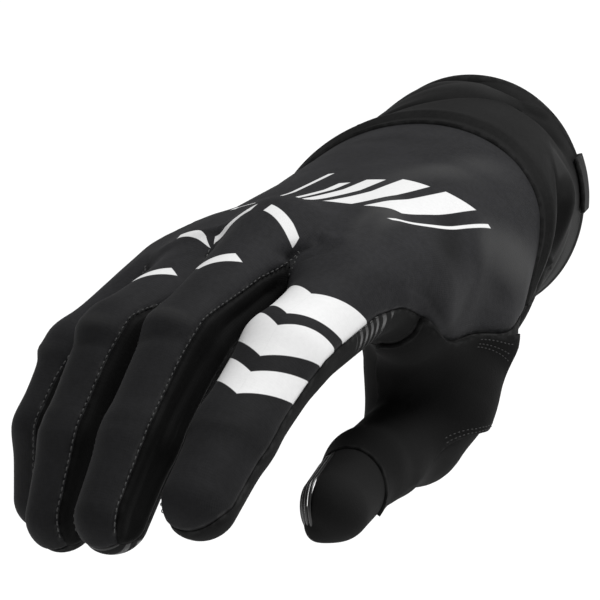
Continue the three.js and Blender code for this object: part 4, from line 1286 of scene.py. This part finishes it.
def panel_uvs(grids):
    """One map for the four fingers of a face: across from the middle finger, along from the wrist."""
    hand_count = len(hand_rows)
    across_hand = [lengths(g, 1) for g in grids]
    offsets = np.cumsum([0 * across_hand[0][:, -1]] + [a[:, -1] for a in across_hand], 0)
    middle = offsets[1] + across_hand[1][:, across_hand[1].shape[1] // 2]
    along_hand = np.concatenate([lengths(g, 0)[:hand_count] for g in grids], 1).mean(1)
    maps = []
    for i, g in enumerate(grids):
        centre = g.shape[1] // 2
        u = across_hand[i] + wide(offsets[i] - middle)
        own = across_hand[i] - across_hand[i][:, [centre]] + u[hand_count - 1, centre]
        u[hand_count:] = own[hand_count:]
        own_along = lengths(g, 0).mean(1)
        on_finger = along_hand[-1] + own_along[hand_count:] - own_along[hand_count - 1]
        v = np.concatenate([along_hand, on_finger])
        maps.append(np.stack([u, wide(v) + 0 * u], -1) / MAP_SCALE)
    return maps


back_uvs, palm_uvs = panel_uvs(back), panel_uvs(palm)
print("the middle finger ends", round(float(back_uvs[1][-1, 0, 1] * MAP_SCALE)), "mm along the map")

# %% [markdown]
# Cloth that has been worn has soft creases: over each knuckle and joint, and slanting from the thumb. They
# could be sculpted or simulated. A table of long low hills is easier to set against a photograph, one
# crease at a time. The same heights set the colour too: painted shade in the hollows, painted highlight on
# the crests.

# %% Creases of the back
FOLDS = np.array([  # across, along, turn in degrees, half length, half breadth, height
    (-26, 86, -62, 13, 2.2, -0.5),
    (0, 147, 0, 9, 2.2, 0.9),
    (0, 153, 4, 8, 1.8, -0.6),
    (39, 146, 0, 9, 2.2, 0.9),
    (39, 151.5, -4, 8, 1.8, -0.6),
    (82, 136, 0, 8, 2.0, 0.8),
    (-46, 172, 3, 12, 2.2, 0.4),
    (0, 178, 0, 7, 1.6, -0.4),
    (40, 174, 0, 7, 1.6, -0.4),
    (-57, 66, -46, 16, 3.5, -0.9),
    (-52, 60, -46, 17, 3.5, 0.7),
    (-60, 84, 55, 12, 2.2, -0.6),
    (-60, 42, 60, 12, 3.0, -0.5),
    (-24, 80, -66, 20, 5, 1.2),
    (-38, 66, -60, 20, 7, -1.2),
    (-20, 34, 60, 22, 7, 0.9),
    (-52, 34, 62, 26, 8, 1.2),
    (-20, 30, 12, 20, 3.5, -0.35),
    (10, 20, -8, 18, 3.0, -0.4),
    (-18, 112, -70, 6, 1.6, -0.5),
    (17, 110, 80, 6, 1.6, -0.5),
    (-30, 106, -60, 9, 2.0, -0.5),
])


def creases(uv):
    """Sum of long hills on the map: height times exp of less the squares along and beside each fold."""
    u, v = uv[:, 0] * MAP_SCALE, uv[:, 1] * MAP_SCALE
    total = 0 * u
    for across_fold, along_fold, turn, half_length, half_breadth, height in FOLDS:
        along_it = (u - across_fold) * cosine(turn) + (v - along_fold) * sine(turn)
        beside = (v - along_fold) * cosine(turn) - (u - across_fold) * sine(turn)
        total += height * np.exp(-((along_it / half_length) ** 2) - (beside / half_breadth) ** 2)
    return total


print("creases:", len(FOLDS), "from", FOLDS[:, 5].min(), "to", FOLDS[:, 5].max(), "mm")

# %% [markdown]
# Where two panels are sewn, both turn inwards, so a seam shows as a small valley. A Bevel modifier rounds
# only sharp corners, and the edge of a thin sheet has none. So each vertex dips by its distance from the
# cut edge, deeper for thin cloth than for stiff suede, and least where three layers meet.

# %% Sewn edges, in millimetres
WRIST_BAND = 0.05
STIFF_REACH, STIFF_FADE = 1, 5
BACK_EDGE = dict(depth=0.7, breadth=1.0, at_wrist=0.15)
PALM_EDGE = dict(depth=0.35, breadth=1.1, at_wrist=0.2)
SLEEVE_EDGE = dict(depth=0.15, breadth=1.0)
CUFF_EDGE = dict(depth=0.6, breadth=1.2)
STRIP_EDGE, STRIP_EDGE_BREADTH = 0.4, 1.0
STRIP_FLAT, STRIP_FADE = 0.5, 5


def rolled_edge(depth, breadth, at_wrist=None):
    """The cloth dips by depth at its cut edge, over about that breadth; the wrist seam may dip less."""
    def relief(points, uv, edge):
        """Less the depth times exp of less the square of the distance to the edge."""
        own = np.where(uv[:, 1] < WRIST_BAND, depth if at_wrist is None else at_wrist, depth)
        return -own * np.exp(-((edge / breadth) ** 2))
    return relief


def clear_of_crotch(points):
    """0 at the three crotches, 1 from 6 mm away: three layers meet there, too stiff to fold."""
    return ease((nearest(points, crotches) - STIFF_REACH) / STIFF_FADE)


def back_relief(points, uv, edge):
    """The rolled edge and the creases together."""
    return rolled_edge(**BACK_EDGE)(points, uv, edge) * clear_of_crotch(points) + creases(uv)


def drawn_in(depth):
    """A strip that sinks by a depth between its two seams, clear of the crotch."""
    def relief(points, uv, edge):
        """The dip at the edge, less the depth eased in over the first few millimetres."""
        at_edge = -STRIP_EDGE * np.exp(-((edge / STRIP_EDGE_BREADTH) ** 2))
        return (at_edge - depth * ease((edge - STRIP_FLAT) / STRIP_FADE)) * clear_of_crotch(points)
    return relief


def as_cut(points, uv, edge):
    """No relief: the grid already has its shape."""
    return 0 * edge


print("the back's edge dips by", BACK_EDGE["depth"], "mm")

# %% [markdown]
# Now the panels can be sewn. The back is one piece of knit with all four fingers, the palm one piece of
# suede with a hole for the thumb, and the strips join them. Each replaces its own CAD nodes and gets a
# material slot, by which another scene can repaint it.

# %% Back, palm and strips
CLOTH_WALL, STRIP_WALL, SUEDE_WALL = 1.3, 0.85, 1.5
STRIP_DRAWN_IN = (2.1, 1.3, 1.2)
thumb_hole = np.zeros((LAST_ROW * FINE, palm[0].shape[1] - 1), bool)
thumb_hole[HOLE_FROM * FINE:HOLE_TO * FINE, :HOLE_COLUMNS * FINE] = True
finger_names = [f["name"] for f in FINGERS]
sew("back_panel_cloth", back, back_uvs, False, CLOTH_WALL, back_relief, back_cloth,
    ["back_panel"] + ["back_of_" + name for name in finger_names], fold_height=creases, relax_at=crotches)
sew("palm_panel_cloth", palm, palm_uvs, True, SUEDE_WALL, rolled_edge(**PALM_EDGE), palm_cloth,
    ["palm_panel"] + ["palm_of_" + name for name in finger_names], opened=thumb_hole)
for pair, grid, depth in zip(PAIRS, strips, STRIP_DRAWN_IN):
    sew("side_strip_" + pair + "_cloth", [grid], [plain_uv(grid)], True, STRIP_WALL, drawn_in(depth),
        strip_cloth, ["side_strip_" + pair])

# %% [markdown]
# On the thumb's outer side lies a second, thicker piece of suede, sewn along its edges but with free
# corners that stand proud. It could be a copy of the tube's faces, pushed outwards. A grid of its own on
# the thumb, with a table of where each row starts and ends, also gives the curved outline. The sleeve is
# sunk beneath it, so that the two never touch.

# %% Forms of the thumb
THUMB_FORMS = np.array([  # ring, turn, spread along, spread round, height: small hollows and swellings
    (0.9, 5.7, 0.8, 1.7, -1.1),
    (5.4, 5.8, 0.7, 1.5, 1.3),
    (9.3, -2.7, 1.2, 1.5, -2.8),
    (10.3, -6.2, 0.8, 1.3, 1.6),
    (4.2, -0.6, 1.0, 1.2, 0.9),
])
HOLE_STIFF, HOLE_FADE, POLE_FADE = 0.1, 0.5, 1.2
thumb_turns = thumb.shape[1] - 1
thumb_columns = thumb_turns // FINE
thumb_out = slope(thumb_distance, thumb)
ring_places = np.arange(POLE_RING * FINE + 1)[:, None] / FINE
turn_places = np.arange(thumb_turns + 1)[None, :] / FINE


def thumb_forms():
    """Height over the thumb of each form: exp of less the squares along and round it."""
    total = 0
    for at_ring, at_turn, along, around, height in THUMB_FORMS:
        aside = wrapped(turn_places - at_turn, thumb_columns)
        total = total + height * np.exp(-(((ring_places - at_ring) / along) ** 2) - (aside / around) ** 2)
    from_hole = ease((ring_places - HOLE_STIFF) / HOLE_FADE)
    return total * from_hole * ease((POLE_RING - ring_places) / POLE_FADE)


thumb = thumb + thumb_out * wide(thumb_forms())
print("forms of the thumb:", len(THUMB_FORMS))

# %% Thumb sleeve and patch
PATCH_WALL = 1.1
PATCH = np.array([  # ring, start, end, lift, how far the end stands proud
    (0.05, -1.2, 6.3, 1.2, 1.2),
    (1, -1.5, 5.6, 0.6, 0.4),
    (2, -1.7, 6.1, 0.4, 1.6),
    (3, -2, 4.9, 0.4, 0.6),
    (4, -2.2, 4.5, 0.4, 0),
    (5, -2.4, 5.2, 0.35, 0),
    (6, -2.5, 5.7, 0.35, 0),
    (7, -2.5, 6, 0.35, 0.1),
    (7.6, -2.5, 6, 0.6, 0.4),
])
PATCH_REACH, PROUD_POWER = 0.25, 6
BELOW_TOP, ABOVE_END, UNDER_FADE, LOWEST_TURN = 0.3, 0.1, 0.35, -7


def on_thumb(values, ring, turn):
    """Values of the thumb's grid between its rings and round it, both counted in CAD cells."""
    at_ring, at_turn = ring * FINE, (turn * FINE) % thumb_turns
    r, c = at_ring.astype(int), at_turn.astype(int)
    near = mix(values[r, c], values[r, c + 1], wide(at_turn - c))
    far = mix(values[r + 1, c], values[r + 1, c + 1], wide(at_turn - c))
    return mix(near, far, wide(at_ring - r))


def patch_grid(rings=150, columns=90):
    """Rows that follow the thumb's rings, raised by their lift; the last sixth of a row turns up."""
    ring = np.linspace(PATCH[0, 0], PATCH[-1, 0], rings)[:, None]
    share = np.linspace(0, 1, columns)[None, :]
    start, end, lift, proud = (
        smooth_table(ring, PATCH[:, 0], PATCH[:, k], PATCH_REACH) for k in range(1, 5))
    turn = mix(start, end, share)
    ring = ring + 0 * share
    out = unit(on_thumb(thumb_out, ring, turn))
    return on_thumb(thumb, ring, turn) + out * wide(lift + proud * share ** PROUD_POWER)


def under_patch():
    """1 where the sleeve lies under the patch, 0 clear of it, over about a third of a cell."""
    turn = (turn_places - LOWEST_TURN) % thumb_columns + LOWEST_TURN
    start, end = (np.interp(ring_places, PATCH[:, 0], PATCH[:, k]) for k in (1, 2))
    along = np.minimum(ring_places - BELOW_TOP, PATCH[-1, 0] - ABOVE_END - ring_places)
    around = np.minimum(turn - start, end - turn)
    return ease(np.minimum(along, around) / UNDER_FADE)


sleeve = thumb - thumb_out * wide(PATCH_WALL * under_patch())
patch = patch_grid()
sew("thumb_sleeve_cloth", [sleeve], [plain_uv(thumb)], True, CLOTH_WALL, rolled_edge(**SLEEVE_EDGE),
    thumb_cloth, ["thumb_sleeve"])
sew("thumb_patch_cloth", [patch], [plain_uv(patch)], True, PATCH_WALL, as_cut, patch_cloth,
    ["thumb_patch"])

# %% [markdown]
# The cuff's narrow creases are painted darker than the cloth beside them, as painted shade, and paler on
# their crests, as a painted highlight. The colour needs their height at each vertex, and the map knows
# where a vertex is, so the heights come from the same table again.

# %% Cuff and pull tab
NARROW_FOLD = 0.12
cuff_uv = plain_uv(cuff)
cuff_share = np.concatenate([np.zeros(len(TUCKED_ROWS)), np.arange(CUFF_ROWS + 1) / CUFF_ROWS])


def cuff_fold_height(uv):
    """Height of the narrow folds, found from the map: it knows the share along and the turn round."""
    along, girth = cuff_uv[:, 0, 1], cuff_uv[:, -1, 0] - cuff_uv[:, 0, 0]
    share = np.interp(uv[:, 1], along, cuff_share)
    round_share = uv[:, 0] / np.interp(uv[:, 1], along, girth) + 0.5
    turn = np.interp(round_share, np.linspace(0, 1, len(cuff_turns)), np.unwrap(cuff_turns, period=360))
    return cuff_relief(turn, share, NARROW_FOLD)


sew("cuff_cloth_piece", [cuff], [cuff_uv], False, CUFF_WALL, rolled_edge(**CUFF_EDGE), cuff_cloth,
    ["cuff"], fold_height=cuff_fold_height)
sew("pull_tab_tape", [tab], [plain_uv(tab)], False, TAB_WALL, as_cut, tab_tape, ["pull_tab"])

# %% [markdown]
# Thread shows as short ridges that dive into the cloth at both ends. A dashed line in the shader would be
# flat where light grazes it, so each stitch is a small capsule with few faces. A row of them follows a line
# beside the seam, at an even pitch.

# %% Stitches
SEAM_STITCH = dict(pitch=1.7, length=1.15, radius=0.16)
PATCH_STITCH = dict(pitch=1.6, length=1.0, radius=0.13)
WRIST_STITCH = dict(pitch=1.9, length=1.3, radius=0.13)
STITCH_PARTS = np.array([  # share of the length, share of the radius, height over the cloth in mm
    (-0.5, 0, -0.3),
    (-0.42, 0.8, -0.14),
    (-0.18, 1, 0.1),
    (0.18, 1, 0.1),
    (0.42, 0.8, -0.14),
    (0.5, 0, -0.3),
])
STITCH_SIDES = 6


def even_line(line, step, reach=0.4):
    """Points along a line at an even step, with the line's own direction there."""
    length = np.concatenate([[0], np.cumsum(np.linalg.norm(np.diff(line, axis=0), axis=1))])
    places = np.arange(step / 2, length[-1], step)
    after, before = between(places + reach, length, line), between(places - reach, length, line)
    return between(places, length, line), unit(after - before)


def stitch_row(name, lines, distance, material, pitch, length, radius):
    """Capsules along each line: rings round the line's direction, pulled to a point at both ends."""
    centre, along = (np.concatenate(parts) for parts in zip(*(even_line(line, pitch) for line in lines)))
    out = slope(distance, centre)
    aside = unit(np.cross(along, out))
    angle = 2 * np.pi * np.arange(STITCH_SIDES) / STITCH_SIDES
    share, breadth, height = STITCH_PARTS.T
    ring_out = (height[:, None] + radius * breadth[:, None] * np.sin(angle))[None, ..., None]
    ring_aside = (radius * breadth[:, None] * np.cos(angle))[None, ..., None]
    forward = (length * share)[None, :, None, None]
    centre, along, out, aside = (way[:, None, None] for way in (centre, along, out, aside))
    points = (centre + along * forward + out * ring_out + aside * ring_aside).reshape(-1, 3)
    number = np.arange(len(points)).reshape(-1, len(STITCH_PARTS), STITCH_SIDES)
    turned = np.roll(number, -1, axis=2)
    quads = np.stack([number[:, :-1], turned[:, :-1], turned[:, 1:], number[:, 1:]], -1).reshape(-1, 4)
    kept, quads = merge(points, quads, 5)
    build(name, points[kept], quads, material)


def inset(grid, side, depth):
    """A line that runs beside a grid's first or last column at a depth in mm."""
    near = grid if side == 0 else grid[:, ::-1]
    return np.stack([between(depth, length, row) for length, row in zip(lengths(near, 1), near)])


def thread(name, shade):
    """Twisted thread: a plain grey with a fine ripple."""
    material, tree, shader = new_material(name)
    twist = noise(tree, object_place(tree), 2500.0, 1.0)
    plug(tree, shader.inputs, {
        "Base Color": between_colours(tree, twist, grey(shade * 0.7), grey(shade * 1.3)),
        "Roughness": 0.6 + twist * 0.2, "Normal": bump(tree, twist, 0.3, 0.0001),
        "Specular IOR Level": 0.2})
    return material


grey_thread, black_thread = thread("grey_thread", 0.06), thread("black_thread", 0.05)
print("threads:", grey_thread.name, black_thread.name)

# %% Rows of stitches
SEAM_INSET = 0.55
CROTCH_SHIFT, CROTCH_SHARE = (0, 1.9, 0.3), 0.7
STITCHED = slice(HAND_ROWS * FINE + FINE // 2, (LAST_ROW - 1) * FINE)
TOP_RINGS, TOP_FROM, TOP_TO = (0.22, 0.4, 0.58), 0.74, 0.96
END_FROM, END_TO, END_DEPTHS = 2.2, 3.95, (1.0, 2.4)
WRIST_SEAM_SHIFT = (0, -0.5, 0)


def patch_row(ring):
    """Number of the patch's row at a ring."""
    return int(round((ring - PATCH[0, 0]) / (PATCH[-1, 0] - PATCH[0, 0]) * (len(patch) - 1)))


for i, pair in enumerate(PAIRS):
    near = inset(back[i][STITCHED], -1, SEAM_INSET)
    far = inset(back[i + 1][STITCHED], 0, SEAM_INSET)
    crotch = crotches[i] + CROTCH_SHIFT
    turn = np.stack([mix(near[0], crotch, CROTCH_SHARE), crotch, mix(far[0], crotch, CROTCH_SHARE)])
    line = np.concatenate([near[::-1], settle(valley_distance(i), turn), far])
    stitch_row("stitches_" + pair, [line], valley_distance(i), grey_thread, **SEAM_STITCH)
last_column = patch.shape[1] - 1
patch_lines = [patch[patch_row(ring), int(TOP_FROM * last_column):int(TOP_TO * last_column) + 1]
               for ring in TOP_RINGS]
patch_lines += [inset(patch, -1, depth)[patch_row(END_FROM):patch_row(END_TO)] for depth in END_DEPTHS]
stitch_row("stitches_patch", patch_lines, thumb_distance, black_thread, **PATCH_STITCH)
wrist_line = around_hand(0)
wrist_loop = np.concatenate([wrist_line, wrist_line[:1]]) + WRIST_SEAM_SHIFT
stitch_row("stitches_wrist", [wrist_loop], hand_distance, black_thread, **WRIST_STITCH)

# %% [markdown]
# Rubber beads are printed on the thumb's tip, for grip on a lever. A bump in the shader would do for a
# print seen from the front, but these are seen in outline. So each bead is a half round ridge, thinner at
# both ends, which starts near the patch, runs along the thumb and turns down over its end.

# %% Grip beads
BEAD_ANGLES = (40, 49, 58, 67)
BEAD_RADIUS, BEAD_HEIGHT, BEAD_SUNK = 0.5, 0.45, 0.08
BEAD_TAPER, BEAD_TIP = 0.08, 0.3
BEAD_SIDES, BEAD_POINTS = 8, 40
BEAD_START, BEAD_LENGTH, BEAD_DIP = 7.4, 1.6, 175


def bead_line(angle):
    """Rays from the thumb's line at an angle off -X: upwards along the tube, then turning over the tip."""
    along = np.linspace(0, 1, BEAD_POINTS)
    tube = between(BEAD_START + BEAD_LENGTH * along, RING_NUMBERS, RINGS)
    centres = np.concatenate([tube, RINGS[-1, :3] + 0 * wide(along)])
    dip = np.concatenate([0 * along, BEAD_DIP * along])
    up = np.stack([0 * dip, -sine(dip), cosine(dip)], -1)
    return cast(thumb_distance, centres, up * sine(angle) - np.array([1.0, 0, 0]) * cosine(angle))


def beads(name, lines, distance, material):
    """Half round ridges: a row of rings across each line, as an arch that tapers at both ends."""
    points, quads, start = [], [], 0
    angle = np.linspace(0, 180, BEAD_SIDES + 1)
    for line in lines:
        along = unit(np.gradient(line, axis=0))
        out = slope(distance, line)
        aside = unit(np.cross(along, out))
        share = np.linspace(0, 1, len(line))
        taper = ease(np.minimum(share, 1 - share) / BEAD_TAPER)[:, None]
        sideways = wide(BEAD_RADIUS * mix(BEAD_TIP, 1, taper) * cosine(angle)) * aside[:, None]
        above = wide(BEAD_HEIGHT * taper * sine(angle) - BEAD_SUNK) * out[:, None]
        points.append((line[:, None] + sideways + above).reshape(-1, 3))
        quads.append(corners((len(line), BEAD_SIDES + 1), start).reshape(-1, 4))
        start += len(points[-1])
    build(name, np.concatenate(points), np.concatenate(quads), material)


def rubber(name, shade):
    """Printed silicone: smooth, glossy and slightly uneven."""
    material, tree, shader = new_material(name)
    cloud = noise(tree, object_place(tree), 700.0)
    plug(tree, shader.inputs, {
        "Base Color": between_colours(tree, cloud, grey(shade * 0.8), grey(shade * 1.2)),
        "Roughness": 0.22 + cloud * 0.15, "Normal": bump(tree, cloud, 0.3, 0.0001),
        "Specular IOR Level": 0.5})
    return material


grip_rubber = rubber("grip_rubber", 0.02)
beads("thumb_beads", [bead_line(angle) for angle in BEAD_ANGLES], thumb_distance, grip_rubber)

# %% [markdown]
# The camera looks along the line that the photograph was taken on. Its bearing, height, distance and lens
# were worked out from the glove's outline, as a hand has no straight edges to measure from.

# %% Camera
CAMERA = dict(azimuth=25.7, elevation=11.1, roll=-7.7, distance=0.604, target=(0.0066, -0.1074, 0.002))
LENS, SENSOR_WIDTH, NEAR_CLIP = 143.6, 36, 0.01


def aim(obj, right, up, backward, place=(0, 0, 0)):
    """Turns an object so that its own axes point right, up and backward, and puts it in its place."""
    turned = np.eye(4)
    turned[:3] = np.stack([right, up, backward, place], 1)
    obj.matrix_world = Matrix(turned.tolist())


def camera_axes(azimuth, elevation, roll):
    """Right, up and backward of a camera at that bearing round +Z, height and roll."""
    flat = cosine(elevation)
    backward = np.array([sine(azimuth) * flat, -cosine(azimuth) * flat, sine(elevation)])
    level = np.array([cosine(azimuth), sine(azimuth), 0])
    upright = np.cross(backward, level)
    right = cosine(roll) * level + sine(roll) * upright
    return right, -sine(roll) * level + cosine(roll) * upright, backward


camera_data = bpy.data.cameras.new("camera")
camera_data.lens = LENS
camera_data.sensor_width = SENSOR_WIDTH
camera_data.clip_start = NEAR_CLIP
camera = placed("camera", camera_data)
view_axes = camera_axes(CAMERA["azimuth"], CAMERA["elevation"], CAMERA["roll"])
aim(camera, *view_axes, np.array(CAMERA["target"]) + view_axes[2] * CAMERA["distance"])
bpy.context.scene.camera = camera
print("camera at", np.round(camera.matrix_world.translation, 3).tolist())

# %% [markdown]
# The glove hangs over a pale floor in soft studio light. Area lamps near it would light the cuff more than
# the fingertips, so two broad suns light it evenly: the key from behind on the right, and a weak fill from
# the front left. A dim white world lifts the darkest cloth a little.

# %% Light, floor and world
FLOOR_HALF, FLOOR_Z = 40, -0.16
WORLD_STRENGTH = 0.3


def soft_sun(name, way, strength, spread):
    """A light of the given spread in degrees that comes from one side; its way points towards it."""
    data = bpy.data.lights.new(name, "SUN")
    data.energy, data.angle = strength, float(np.radians(spread))
    away = unit(np.array(way, float))
    side = unit(np.cross((0, 0, 1), away))
    aim(placed(name, data), side, np.cross(away, side), away)


soft_sun("key_light", way=(0.45, 0.28, 0.84), strength=3.3, spread=30)
soft_sun("fill_light", way=(-0.5, -0.6, 0.5), strength=0.25, spread=90)
floor_mesh = bpy.data.meshes.new("floor")
floor_corners = [(x * FLOOR_HALF, y * FLOOR_HALF, FLOOR_Z) for x, y in ((-1, -1), (1, -1), (1, 1), (-1, 1))]
floor_mesh.from_pydata(floor_corners, [], [(0, 1, 2, 3)])
floor_paint, floor_tree, floor_shader = new_material("floor_paint")
floor_look = {"Base Color": grey(0.9), "Roughness": 0.9, "Specular IOR Level": 0.1}
plug(floor_tree, floor_shader.inputs, floor_look)
floor_mesh.materials.append(floor_paint)
floor = placed("floor", floor_mesh)
world = bpy.data.worlds.new("studio")
world.use_nodes = True
background = world.node_tree.nodes["Background"].inputs
plug(world.node_tree, background, {"Color": grey(1.0), "Strength": WORLD_STRENGTH})
bpy.context.scene.world = world
bpy.context.scene.view_settings.view_transform = "Standard"
print("lights:", [light.name for light in bpy.data.lights])
